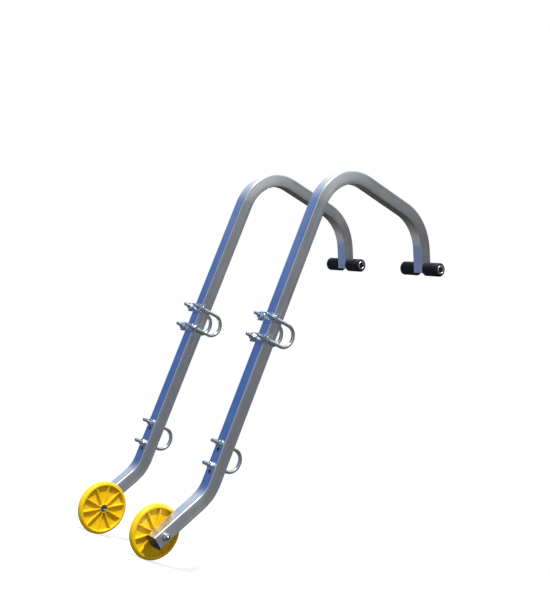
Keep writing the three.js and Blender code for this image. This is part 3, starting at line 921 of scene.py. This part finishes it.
def centreline():
    """Stations from the foot to the nose, then the cross tube's (y, z, angle) and the axle's (y, z).

    A station is (y, z, tangent angle from +Z towards +Y, signed share of full bending).
    """
    out = []
    # foot leg and lower bend
    lean = LOWER_BEND_A * DEG
    sin, cos = math.sin(lean), math.cos(lean)
    leg_y = CENTRE_Y - LOWER_BEND_R * (1 - cos)
    leg_z = LOWER_BEND_Z - LOWER_BEND_R * sin
    for k in range(6):
        d = LOWER_LEG * (1 - k / 6)
        out.append((leg_y - d * sin, leg_z - d * cos, lean, 0.0))
    steps = round(LOWER_BEND_A / BEND_STEP)
    for i in range(steps, -1, -1):
        a = lean * i / steps
        y = CENTRE_Y - LOWER_BEND_R * (1 - math.cos(a))
        out.append((y, LOWER_BEND_Z - LOWER_BEND_R * math.sin(a), a, -bend_share(i, steps)))
    # upright and upper bend
    for k in range(1, 12):
        out.append((CENTRE_Y, LOWER_BEND_Z + (UPPER_BEND_Z - LOWER_BEND_Z) * k / 12, 0.0, 0.0))
    steps = round(UPPER_BEND_A / BEND_STEP)
    for i in range(steps + 1):
        a = UPPER_BEND_A * DEG * i / steps
        y = CENTRE_Y + UPPER_BEND_R * (1 - math.cos(a))
        out.append((y, UPPER_BEND_Z + UPPER_BEND_R * math.sin(a), a, bend_share(i, steps)))
    # level run and nose bend
    nose_y = CENTRE_Y + UPPER_BEND_R + HOOK_REACH
    top_z = UPPER_BEND_Z + UPPER_BEND_R
    for k in range(1, 4):
        out.append((nose_y - HOOK_REACH * (1 - k / 4), top_z, math.pi / 2, 0.0))
    nose_z = top_z - NOSE_BEND_R
    steps = round(NOSE_BEND_A / BEND_STEP)
    for i in range(steps + 1):
        a = (UPPER_BEND_A + NOSE_BEND_A * i / steps) * DEG
        y, z = nose_y - NOSE_BEND_R * math.cos(a), nose_z + NOSE_BEND_R * math.sin(a)
        out.append((y, z, a, bend_share(i, steps)))
    # nose leg, from the bend's last station
    run = NOSE_LEG + NOSE_OVERRUN
    for k in (1, 2, 3):
        out.append((y + run * k / 3 * math.sin(a), z + run * k / 3 * math.cos(a), a, 0.0))
    cross = (y + NOSE_LEG * math.sin(a), z + NOSE_LEG * math.cos(a), a)
    return out, cross, (leg_y - AXLE_ALONG * sin, leg_z - AXLE_ALONG * cos)


STATIONS, CROSS, AXLE = centreline()


def station_ring(section, y, z, a, bend=0.0):
    """A ring of section points at a station. In a bend the inside wall dishes, the stretched
    outer wall narrows and the sides curve in to it."""
    ring = []
    normal_y, normal_z = -math.cos(a), math.sin(a)
    half = TUBE / 2
    for p, q in section:
        if bend:
            inner_side = -1.0 if bend > 0 else 1.0
            k = abs(bend)
            middle = max(0.0, 1 - (p / (half * 0.86)) ** 2)
            if q * inner_side > half * 0.7:
                q -= inner_side * 0.55 * k * middle
            elif -q * inner_side > half * 0.7:
                q += inner_side * 0.30 * k * middle
            middle = max(0.0, 1 - (q / (half * 0.86)) ** 2)
            outward = (1 - q * inner_side / half) / 2
            p *= 1 - 1.2 / half * k * outward * outward
            if abs(p) > half * 0.7:
                p += math.copysign(0.22 * k * middle, p)
        ring.append((p, y + normal_y * q, z + normal_z * q))
    return ring


# ---- positions ------------------------------------------------------------------------------
ABOUT_X = Matrix.Rotation(math.pi / 2, 4, "Y")  # +Z becomes +X
FRONT_Z = Matrix.Rotation(math.pi / 2, 4, "X")  # +Z becomes -Y
HALF_TURN = Matrix.Rotation(math.pi, 4, "Z")
CORNER_UP = Matrix.Rotation(30 * DEG, 4, "Z")


def at(x, y, z):
    return Matrix.Translation((x, y, z))


def rivet_matrix(distance):
    """Origin on the cross tube's centreline moved along the outer wall's normal; +Z points
    out of the hook's inside wall."""
    y, z, a = CROSS
    normal = Vector((0, -math.cos(a), math.sin(a)))
    x_axis = Vector((1, 0, 0))
    m = Matrix((x_axis, (-normal).cross(x_axis), -normal)).transposed().to_4x4()
    m.translation = Vector((0, y, z)) + normal * distance
    return m


def cutter(radius, length, matrix, n, flare=0.0, mouths=()):
    """A cylinder about Z that flares over 0.35 mm at each height in mouths, to break the
    hole's edge. Its widest ring stands 0.04 mm clear of the face it cuts: in the face's own
    plane it leaves a disc across the hole."""
    profile = [(-length / 2, radius)]
    for mouth in mouths:
        z = mouth + math.copysign(0.04, mouth)
        profile += [(z - 0.35, radius), (z, radius + flare), (z + 0.35, radius)]
    profile.append((length / 2, radius))
    return lathe(profile, n, closed=False).object("cutter", matrix)


# =============================================================================================
# Pieces
# =============================================================================================
def arm_tube(node, arm_x):
    outline = rounded_square(TUBE / 2, 2.5)
    bore = rounded_square(TUBE / 2 - WALL, 0.7)

    def end(k, share, shift):
        """The outline scaled by share, moved along the centreline from station k."""
        y, z, a, _ = STATIONS[k]
        section = [(p * share, q * share) for p, q in outline]
        return station_ring(section, y + math.sin(a) * shift, z + math.cos(a) * shift, a)

    outer = [station_ring(outline, *station) for station in STATIONS]
    inner = [station_ring(bore, *station) for station in STATIONS]
    # the sawn ends have a small deburred edge
    outer[0] = end(0, 1.0, 0.35)
    outer[-1] = end(-1, 1.0, -0.35)
    rows = [end(0, 0.976, 0.0)] + outer + [end(-1, 0.976, 0.0)] + inner[::-1]
    around = [0.0]
    for p, q in zip(outline, outline[1:] + outline[:1]):
        around.append(around[-1] + math.hypot(p[0] - q[0], p[1] - q[1]) * MM)
    build = Build()
    build.rings(rows, around, closed=True)
    obj = build.object(node, at(arm_x, 0, 0))
    through = 60
    walls = (-TUBE / 2, TUBE / 2)
    cutters = [
        cutter(10.15, through, at(arm_x, CROSS[0], CROSS[1]) @ ABOUT_X, 96, 0.25, walls),
        cutter(4.2, through, at(arm_x, *AXLE) @ ABOUT_X, 48, 0.25, walls),
        cutter(RIVET_HOLE_R, 9, at(arm_x, 0, 0) @ rivet_matrix(-TUBE / 2), 32),
    ]
    # holes for the lower U-bolt, and a second pair 13 mm below
    for side in (1, -1):
        for drop in (0, 13.0):
            matrix = at(arm_x, CENTRE_Y, -RUNG_PITCH + side * LEG_OFFSET - drop) @ FRONT_Z
            cutters.append(cutter(LEG_HOLE_R, through, matrix, 48, 0.3, walls))
    cut(obj, cutters)
    place(node, obj)


def cross_tube(node, arm_x):
    bore, half = 7.0, 60.0
    profile = [
        (-half, bore + 0.35),
        (-half, CROSS_R - 0.45),
        (-half + 0.45, CROSS_R),
        (half - 0.45, CROSS_R),
        (half, CROSS_R - 0.45),
        (half, bore + 0.35),
        (half - 0.4, bore),
        (-half + 0.4, bore),
    ]
    obj = lathe(profile, 72).object(node, at(arm_x, CROSS[0], CROSS[1]) @ ABOUT_X)
    cut(obj, [cutter(RIVET_HOLE_R, 8, at(arm_x, 0, 0) @ rivet_matrix(-CROSS_R), 32)])
    place(node, obj)


# (z, r) from the open end of the head to the far end of the shank
RIVET_PROFILE = [
    (1.15, 0.0001), (1.15, 0.75), (1.30, 0.95), (1.62, 1.15), (1.68, 1.6), (1.50, 2.3),
    (1.12, 3.0), (0.62, 3.6), (0.25, 3.95), (0.10, 4.0), (REST, 3.9), (REST, 2.3),
    (-8.5, 2.3), (-8.9, 2.95), (-9.5, 3.1), (-10.1, 2.9), (-10.7, 2.1), (-11.0, 1.2),
    (-11.0, 0.0001),
]


def rivet(node, arm_x):
    matrix = at(arm_x, 0, 0) @ rivet_matrix(-TUBE / 2)
    place(node, lathe(RIVET_PROFILE, 40, closed=False).object(node, matrix, weld=True))


def pad(node, arm_x, direction):
    """Rubber sleeve with sixteen lengthwise ribs, rounded off at its outer end."""
    ribs, per_rib = 16, 8
    n = ribs * per_rib
    start, end, radius = 14.8, 58.6, 16.02
    bore = 10.1
    full, full_end = start + 0.55, end - 2.6  # the full-size length

    def ring(x, r, groove=0.0):
        row = []
        for j in range(n):
            t = (j % per_rib) / per_rib  # 0 at a rib's middle
            u = abs(((t + 0.5) % 1.0) - 0.5) * 2  # 0 at the middle, 1 at the groove
            g = 0.0 if u < 0.62 else (u - 0.62) / 0.38
            g = g * g * (3 - 2 * g)
            crown = 0.10 * u * u
            a = 2 * math.pi * (j / n) + math.pi / ribs
            groove_r = r - groove * (0.62 * g + crown)
            row.append((x * direction, groove_r * math.cos(a), groove_r * math.sin(a)))
        return row

    # (x, radius, depth of the grooves)
    profile = [
        (start, 10.4),
        (start, 13.5),
        (start + 0.08, 13.95, 0.5),
        (start + 0.25, radius - 0.22, 0.9),
        (full, radius, 1.0),
    ]
    for i in range(1, 12):
        x = full + (full_end - full) * i / 12
        profile.append((x, radius - 0.05 * math.sin(math.pi * i / 12), 1.0))
    profile += [
        (full_end, radius, 1.0),
        (end - 1.75, radius - 0.28, 1.0),
        (end - 1.0, radius - 0.85, 0.9),
        (end - 0.45, radius - 1.55, 0.6),
        (end - 0.12, radius - 2.3, 0.3),
        (end, radius - 3.0),
        (end, 10.5),
        (end - 0.5, bore),
        ((start + end) / 2, 10.08),
        (start + 0.4, bore),
    ]
    build = Build()
    build.rings([ring(*row) for row in profile], closed=True)
    place(node, build.object(node, at(arm_x, CROSS[0], CROSS[1]), angle=50))


# (half width, corner radius, height out of the tube's end)
CAP_SECTIONS = [
    (11.0, 1.2, -13.0), (11.7, 1.2, -12.7), (12.0, 1.2, -11.5), (12.15, 1.0, -9.0),
    (11.8, 1.0, -8.6), (11.8, 1.0, -7.2), (12.15, 1.0, -6.8), (11.8, 1.0, -4.0),
    (11.8, 1.0, -2.6), (12.15, 1.0, -2.2), (12.15, 1.0, 0.32), (14.15, 2.4, 0.32),
    (14.37, 2.5, 0.5), (14.40, 2.5, 0.9), (14.40, 2.5, 2.7), (14.30, 2.6, 3.25),
    (14.02, 2.7, 3.68), (13.60, 2.8, 3.92), (13.00, 2.8, 4.02), (11.0, 2.6, 4.05),
    (7.0, 2.0, 4.08), (4.0, 1.0, 4.1),
]


def end_cap(node, arm_x):
    """Ribbed plug in the tube's foot."""
    y, z, a, _ = STATIONS[0]
    build = Build()
    rows = [
        [(p, q, height) for p, q in rounded_square(half, radius, 8, 4)]
        for half, radius, height in CAP_SECTIONS
    ]
    build.rings(rows, cap0=True, cap1=True)
    matrix = at(arm_x, y, z) @ Matrix.Rotation(math.pi - a, 4, "X")
    place(node, build.object(node, matrix, angle=40))


def clamp_plate(node, arm_x, plate_z):
    """Flat bar with rolled edges and two punched holes, lying across the arm's front."""
    edge = 0.40
    half = PLATE_T / 2

    def outline(inset):
        points = []
        r = 2.4
        x, y = PLATE_W / 2 - inset - r, PLATE_H / 2 - inset - r
        for cx, cy, start in ((x, y, 0), (-x, y, 90), (-x, -y, 180), (x, -y, 270)):
            for i in range(9):
                a = (start + 90 * i / 8) * DEG
                points.append((cx + r * math.cos(a), cy + r * math.sin(a)))
        return points

    def hole(side, r):
        return [(side * UBOLT_HALF + x, y) for x, y in circle(r, 40)]

    # each loop on the face, halfway round the rolled edge and on the wall
    loops = []
    for face, wall in (
        (outline(edge), outline(0)),
        (hole(1, LEG_HOLE_R + 0.25), hole(1, LEG_HOLE_R)),
        (hole(-1, LEG_HOLE_R + 0.25), hole(-1, LEG_HOLE_R)),
    ):
        middle = [
            tuple((p + q) / 2 + (p - q) * 0.207 for p, q in zip(on_wall, on_face))
            for on_wall, on_face in zip(wall, face)
        ]
        loops.append((face, middle, wall))
    total = sum(len(loop[0]) for loop in loops)
    build = Build()
    layers = [
        (half, 0),
        (half - edge * 0.3, 1),
        (half - edge, 2),
        (-half + edge, 2),
        (-half + edge * 0.3, 1),
        (-half, 0),
    ]
    for z, which in layers:
        for loop in loops:
            build.verts.extend((x, y, z) for x, y in loop[which])

    def flat_face(f):
        build.face(f, [(build.verts[i][0] * MM, build.verts[i][1] * MM) for i in f])

    for k in range(len(layers) - 1):
        upper = k * total
        for number, loop in enumerate(loops):
            count = len(loop[0])
            lower = upper + total
            for j in range(count):
                l = (j + 1) % count
                f = (upper + j, lower + j, lower + l, upper + l)
                flat_face(f[::-1] if number else f)
            upper += count
    # the two faces, with the holes left open
    flat = [[Vector((x, y, 0)) for x, y in loop[0]] for loop in loops]
    points = [p for loop in flat for p in loop]
    bottom = (len(layers) - 1) * total
    for tri in tessellate_polygon(flat):
        p, q, r = (points[i] for i in tri)
        area = (q - p).cross(r - p).z
        if abs(area) < 1e-9:
            continue
        order = tri if area > 0 else tri[::-1]
        flat_face(order)
        flat_face([bottom + i for i in order[::-1]])
    y = -TUBE - REST - PLATE_T / 2
    obj = build.object(node, at(arm_x, y, plate_z) @ FRONT_Z, angle=50)
    weigh(obj, 50)
    place(node, obj)


# ---- wheel ----------------------------------------------------------------------------------
WEB_H = 1.6  # heights are from the wheel's mid-plane
RIB_H = 7.0
RIM_H = 8.0
RIB_HALF = 1.28
RIB_OFFSETS = [0.0, 0.55, 0.95, 1.15, RIB_HALF, 1.66, 1.86, 2.12, 2.46]  # columns across half a rib
POCKET_SHARES = [0.30, 0.65]  # columns from the rib's foot to the pocket's middle
POCKET = 9  # an offset well clear of any rib
RECESS_H = HUB_W / 2 - RECESS
# (radius, height); the hub's face towards the arm, and its recessed face away from it
ARM_FACE = [(6.05, 7.9), (6.25, 8.3), (6.75, 8.5), (8.7, 8.5), (8.95, 8.47), (9.2, 8.32)]
OPEN_FACE = [
    (6.05, RECESS_H - 0.4), (6.25, RECESS_H - 0.06), (6.6, RECESS_H), (7.55, RECESS_H),
    (7.85, RECESS_H + 0.1), (7.95, RECESS_H + 0.4), (7.97, 8.1), (8.05, 8.36), (8.3, 8.5),
    (8.8, 8.5), (9.0, 8.47), (9.2, 8.32),
]
# radii where ribs, hub and rim shape the height
SHAPED_RADII = (
    9.35, 9.45, 9.8, 10.1, 10.5, 11.0, 13.0, 16.5, 21.0, 26.0, 31.0, 36.0, 41.0, 44.5, 46.2,
    46.8, 47.25, 47.65, 48.0, 48.3, 48.7, 49.05, 49.22, 49.4, 49.6,
)
# (radius, height) over the crowned tread, up to its faint parting line
TREAD = [
    (50.4, 8.0), (51.1, 7.93), (52.1, 7.70), (53.1, 7.28), (54.0, 6.72), (54.8, 5.98),
    (55.45, 5.1), (56.0, 4.1), (56.42, 3.0), (56.68, 1.9), (56.8, 0.8), (56.8, 0.26),
    (56.96, 0.14),
]


def moulded_wall(d, top, draft, round_top, fillet):
    """Height d mm outside a wall's top edge: rounded edge, drafted wall, fillet at its foot."""
    if d <= -round_top:
        return top
    if d <= 0:
        u = (d + round_top) / round_top
        return top - round_top * (1 - math.sqrt(max(0.0, 1 - u * u)))
    if d <= draft:
        return top - round_top - (top - round_top - WEB_H - fillet) * d / draft
    if d <= draft + fillet:
        u = (d - draft) / fillet
        return WEB_H + fillet * (1 - math.sqrt(max(0.0, 1 - (1 - u) ** 2)))
    return WEB_H


def wheel(side, arm_x):
    """Yellow moulded wheel: rim, web and hub, with ten ribs on each face."""
    node = side + "_wheel"
    sector = 36 * DEG
    half = sector / 2

    def columns(r):
        """(angle, offset from the nearest rib's middle) round the wheel."""
        angles = [math.asin(offset / max(r, 9.7)) for offset in RIB_OFFSETS]
        foot = angles[-1]
        angles = angles[1:] + [foot + (half - foot) * share for share in POCKET_SHARES]
        flank = list(zip(angles, RIB_OFFSETS[1:] + [POCKET, POCKET]))
        out = []
        for i in range(10):
            rib = RIB_PHASE[side] * DEG + i * sector
            out += [(rib - a, offset) for a, offset in flank[::-1]]
            out.append((rib, 0.0))
            out += [(rib + a, offset) for a, offset in flank]
            out.append((rib + half, POCKET))
        return out

    def shaped(r, offset):
        rib = moulded_wall(offset - RIB_HALF, RIB_H, draft=0.38, round_top=0.33, fillet=0.8)
        hub = moulded_wall(r - 9.35, HUB_W / 2, draft=0.45, round_top=0.45, fillet=1.2)
        rim = moulded_wall(49.05 - r, RIM_H, draft=0.75, round_top=0.5, fillet=1.4)
        return max(WEB_H, rib, hub, rim)

    def ring(r, height, sign):
        row = []
        for a, offset in columns(r):
            x = shaped(r, offset) if height is None else height
            row.append((sign * x, r * math.cos(a), r * math.sin(a)))
        return row

    outer = [(r, None) for r in SHAPED_RADII] + TREAD
    plus, minus = (OPEN_FACE, ARM_FACE) if side == "left" else (ARM_FACE, OPEN_FACE)
    rows = [ring(r, height, 1) for r, height in plus + outer]
    rows.append(ring(56.98, 0.0, 1))
    rows += [ring(r, height, -1) for r, height in (minus + outer)[::-1]]
    n = len(rows[0])
    build = Build()
    build.rings(rows, [2 * math.pi * 50 * MM * j / n for j in range(n + 1)], closed=True)
    obj = build.object(node, angle=40)
    wheel_x = arm_x + INBOARD[side] * WHEEL_OFFSET
    obj.matrix_world = at(wheel_x * MM, AXLE[0] * MM, AXLE[1] * MM)
    place(node, obj)


# ---- axle -----------------------------------------------------------------------------------
def axle_sleeve(node, inward):
    """Flange against the arm; the wheel turns on its barrel."""
    start, step, end = TUBE / 2 + REST, WHEEL_OFFSET - HUB_W / 2 - 0.25, SLEEVE_END
    profile = [
        (start, 4.35),
        (start, 8.75),
        (start + 0.25, 9.0),
        (step - 0.35, 9.0),
        (step, 8.65),
        (step, 6.0),
        (end - 0.3, 6.0),
        (end, 5.7),
        (end, 4.4),
        (end - 0.25, 4.15),
        (start + 0.2, 4.15),
    ]
    place(node, lathe(profile, 72).object(node, inward @ ABOUT_X))


def axle_bolt(node, outward):
    """Chamfered hexagon head in the wheel's recess, plain shank, rolled thread outboard."""
    seat = -(SLEEVE_END + WASHER_T + 2 * REST)
    top = seat - 5.3
    tip = seat + AXLE_LENGTH
    hexagon = rounded_hexagon()
    start = NUT_FLATS / 2 * 0.945
    slope = math.tan(30 * DEG)
    rows = [
        round_ring(hexagon, 3.3, top + 0.42),
        round_ring(hexagon, 3.9, top + 0.30),
        round_ring(hexagon, 4.2, top + 0.02),
        round_ring(hexagon, start, top),
        cone_ring(hexagon, top, start, slope, share=0.985),
        cone_ring(hexagon, top + 0.10, start, slope),
        cone_ring(hexagon, seat - 0.45, 6.9, -0.5),
        round_ring(hexagon, 6.3, seat - 0.30),
        round_ring(hexagon, 6.1, seat),
        round_ring(hexagon, 4.3, seat),
    ]
    head = Build()
    head.rings(rows, cap0=(0.0, 0.0, top + 0.45), cap1=(0.0, 0.0, seat + 0.02))
    obj = head.object(node, outward @ ABOUT_X @ CORNER_UP, angle=30)
    thread_from = tip - 22
    section = circle(ROD_R, ROD_SIDES)
    shank_z = (seat - 1.0, seat + 6, thread_from - 8, thread_from)
    shank = Build()
    shank.rings([[(x, y, z) for x, y in section] for z in shank_z], cap0=True)
    add_thread(shank, lambda z, x, y: (x, y, z), thread_from, tip)
    shank_obj = shank.object("shank", outward @ ABOUT_X, angle=28, weld=True)
    face_outwards(shank_obj.data)
    combine(obj, [shank_obj], "UNION")
    weigh(obj, 28)
    place(node, obj)


def axle_set(side, arm_x):
    prefix = side + "_axle_"
    axle = at(arm_x, *AXLE)
    inward = axle @ (Matrix.Identity(4) if INBOARD[side] > 0 else HALF_TURN)  # +X is inboard
    outward = inward @ HALF_TURN
    axle_sleeve(prefix + "sleeve", inward)
    axle_bolt(prefix + "bolt", outward)
    # small washer under the head, wider washer and lock nut outboard
    node = prefix + "head_washer"
    matrix = inward @ at(SLEEVE_END + REST + WASHER_T / 2, 0, 0) @ ABOUT_X
    place(node, washer(15.0).object(node, matrix))
    node = prefix + "nut_washer"
    matrix = outward @ at(TUBE / 2 + REST + WASHER_T / 2, 0, 0) @ ABOUT_X
    place(node, washer(16.0).object(node, matrix))
    node = prefix + "nut"
    nut_x = TUBE / 2 + 2 * REST + WASHER_T + AXLE_NUT_H / 2
    nut = hex_nut(AXLE_NUT_H, collar=2.3)
    obj = nut.object(node, outward @ at(nut_x, 0, 0) @ ABOUT_X @ CORNER_UP, angle=30)
    place(node, obj, extra=(NYLON,))


# ---- assembly -------------------------------------------------------------------------------
def fasteners(side, name, x, z, seat_y):
    """A washer and a nut on one leg, in front of the face at seat_y."""
    node = f"{side}_{name}_washer"
    matrix = at(x, seat_y - REST - WASHER_T / 2, z) @ FRONT_Z
    place(node, washer(18.0).object(node, matrix))
    node = f"{side}_{name}_nut"
    turn = Matrix.Rotation(NUT_TURN[name] * DEG, 4, "Z")
    matrix = at(x, seat_y - 2 * REST - WASHER_T - NUT_H / 2, z) @ FRONT_Z @ turn
    place(node, hex_nut(NUT_H).object(node, matrix, angle=30))


def hook_arm(side):
    arm_x, inboard = ARM_X[side], INBOARD[side]
    prefix = side + "_"
    arm_tube(prefix + "arm_tube", arm_x)
    cross_tube(prefix + "cross_tube", arm_x)
    rivet(prefix + "cross_tube_rivet", arm_x)
    pad(prefix + "pad_inner", arm_x, inboard)
    pad(prefix + "pad_outer", arm_x, -inboard)
    end_cap(prefix + "end_cap", arm_x)
    levels = (("top", LEG_OFFSET), ("bottom", -LEG_OFFSET))
    for level, z in levels:
        clamp_plate(prefix + "clamp_plate_" + level, arm_x, z)
    for where, direction in (("inner", inboard), ("outer", -inboard)):
        x = arm_x + direction * UBOLT_HALF
        u_bolt(f"{prefix}upper_{where}_ubolt", at(x, 0, 0))
        for level, z in levels:
            fasteners(side, f"upper_{where}_{level}", x, z, -TUBE - REST - PLATE_T)
    u_bolt(prefix + "lower_ubolt", at(arm_x, 0, -RUNG_PITCH))
    for level, z in levels:
        fasteners(side, "lower_" + level, arm_x, -RUNG_PITCH + z, -TUBE)
    wheel(side, arm_x)
    axle_set(side, arm_x)


hook_arm("left")
hook_arm("right")

# =============================================================================================
# Stage
# =============================================================================================
UP = Vector((-0.088, -0.617, 0.780)).normalized()  # where the soft light comes from
SKY_GAIN = 1 / 0.86

# (position, 8-bit display red, green, blue) round the X axis from -Y:
# 0.25 is -Z, 0.5 is +Y, 0.75 is +Z
SKY_MINUS_X = [
    (0.0, 58, 95, 162), (0.055, 68, 100, 161), (0.100, 90, 112, 160), (0.125, 122, 129, 148),
    (0.155, 140, 139, 144), (0.183, 144, 144, 149), (0.223, 126, 121, 123),
    (0.264, 106, 100, 97), (0.306, 90, 85, 82), (0.347, 78, 73, 70), (0.400, 66, 62, 59),
    (0.450, 57, 54, 53), (0.540, 56, 53, 53), (0.570, 90, 88, 88), (0.605, 205, 206, 208),
    (0.640, 250, 252, 253), (0.680, 250, 252, 254), (0.715, 236, 239, 243),
    (0.753, 215, 225, 234), (0.794, 186, 201, 217), (0.838, 160, 177, 201),
    (0.880, 137, 158, 191), (0.916, 84, 117, 174), (0.942, 62, 98, 164), (1.0, 58, 95, 162),
]
SKY_PLUS_X = [
    (0.0, 138, 152, 184), (0.10, 112, 118, 134), (0.25, 84, 80, 77), (0.40, 96, 95, 95),
    (0.50, 107, 110, 114), (0.54, 98, 100, 103), (0.575, 82, 82, 84), (0.600, 108, 109, 110),
    (0.630, 216, 219, 222), (0.75, 200, 206, 214), (0.84, 182, 195, 216),
    (0.93, 150, 165, 196), (1.0, 138, 152, 184),
]


def sky_colour(*display):
    """Linear sky colour from 8-bit display values."""
    return tuple(SKY_GAIN * ((c / 255 + 0.055) / 1.055) ** 2.4 for c in display)


def floor():
    """A wide disc seen only by the camera and from above, just under the lowest piece."""
    z = CAD_LO.z - 0.0004
    sides = 96
    bm = bmesh.new()
    centre = Vector(((CAD_LO.x + CAD_HI.x) / 2, (CAD_LO.y + CAD_HI.y) / 2, z))
    last = None
    middle = bm.verts.new(centre)
    for power in range(-1, 7):
        row = [bm.verts.new(centre + Vector((x, y, 0))) for x, y in circle(2.0**power, sides)]
        for i in range(sides):
            k = (i + 1) % sides
            if last is None:
                bm.faces.new((middle, row[i], row[k]))
            else:
                bm.faces.new((last[i], row[i], row[k], last[k]))
        last = row
    me = bpy.data.meshes.new("stage_floor")
    bm.to_mesh(me)
    bm.free()
    obj = link("stage_floor", me)
    n = new_material("pale_floor")
    cloud = n.noise(n.object_place(), scale=3.0, detail=3, rough=0.5)
    colour = n.mix(n.span(cloud, over=(0.3, 0.7)), (0.40, 0.40, 0.395), (0.43, 0.43, 0.42))
    diffuse = n.add("ShaderNodeBsdfDiffuse", {0: colour})
    glow = n.add("ShaderNodeEmission", {"Color": (1.0, 1.0, 1.0), "Strength": 0.70})
    both = n.add("ShaderNodeAddShader", {0: diffuse.outputs[0], 1: glow.outputs[0]})
    clear = n.add("ShaderNodeBsdfTransparent")
    below = n.add("ShaderNodeNewGeometry").outputs["Backfacing"]
    shown = n.add("ShaderNodeMixShader", {0: below, 1: both.outputs[0], 2: clear.outputs[0]})
    n.add("ShaderNodeOutputMaterial", {0: shown.outputs[0]})
    obj.data.materials.append(n.owner)
    obj.visible_glossy = False
    obj.visible_diffuse = False


def world():
    """White to the camera, a banded sky to reflections, and a soft sky to all other rays."""
    studio = bpy.data.worlds.new("studio")
    bpy.context.scene.world = studio
    n = Nodes(studio)
    studio.cycles.sampling_method = "NONE"
    direction = n.add("ShaderNodeTexCoord").outputs["Generated"]
    x, y, z = n.add("ShaderNodeSeparateXYZ", {0: direction}).outputs
    turn = n.plus(n.math("DIVIDE", n.math("ARCTAN2", z, y), 2 * math.pi), 0.5)
    side = n.span(x, over=(-0.42, 0.30), smooth=True)
    skies = [
        n.ramp(turn, [(position, sky_colour(*display)) for position, *display in table])
        for table in (SKY_MINUS_X, SKY_PLUS_X)
    ]
    seen = n.mix(side, *skies)
    # one plain colour straight along X, where the bands would pinch together
    off_axis = n.math("SQRT", n.plus(n.mul(y, y), n.mul(z, z)))
    clear_of_axis = n.span(off_axis, over=(0.12, 0.42), smooth=True)
    seen = n.mix(clear_of_axis, sky_colour(120, 124, 132), seen)
    height = n.vmath("DOT_PRODUCT", direction, tuple(UP))
    high = n.span(height, over=(-0.35, 0.45), smooth=True)
    soft = n.mix(high, (0.20, 0.185, 0.17), (0.50, 0.56, 0.65))
    path = n.add("ShaderNodeLightPath")
    colour = n.mix(path.outputs["Is Glossy Ray"], soft, seen)
    colour = n.mix(path.outputs["Is Camera Ray"], colour, (1.0, 1.0, 1.0))
    background = n.add("ShaderNodeBackground", {0: colour})
    n.add("ShaderNodeOutputWorld", {0: background.outputs[0]})


def light():
    """One broad key from above and in front, on the outer side of the right arm."""
    data = bpy.data.lights.new("key", "SUN")
    data.energy = 4.2
    data.angle = 5 * DEG
    data.color = (1.0, 0.975, 0.93)
    obj = link("key", data)
    to_light = Vector((0.39, -0.375, 0.84)).normalized()
    obj.rotation_euler = (-to_light).to_track_quat("-Z", "Y").to_euler()
    obj.location = to_light * 3


def camera():
    data = bpy.data.cameras.new("camera")
    data.sensor_width = 36.0
    data.lens = 62.7285
    data.clip_start = 0.05
    data.clip_end = 200
    obj = link("camera", data)
    obj.location = (2.002881, -1.304833, -0.368322)
    obj.rotation_euler = (102.11597965 * DEG, -20.52742664 * DEG, 49.33703874 * DEG)
    bpy.context.scene.camera = obj


floor()
world()
light()
camera()
view = bpy.context.scene.view_settings
view.view_transform = "Standard"
view.look = "None"
view.exposure = 0.0
view.gamma = 1.0

bpy.context.view_layer.update()
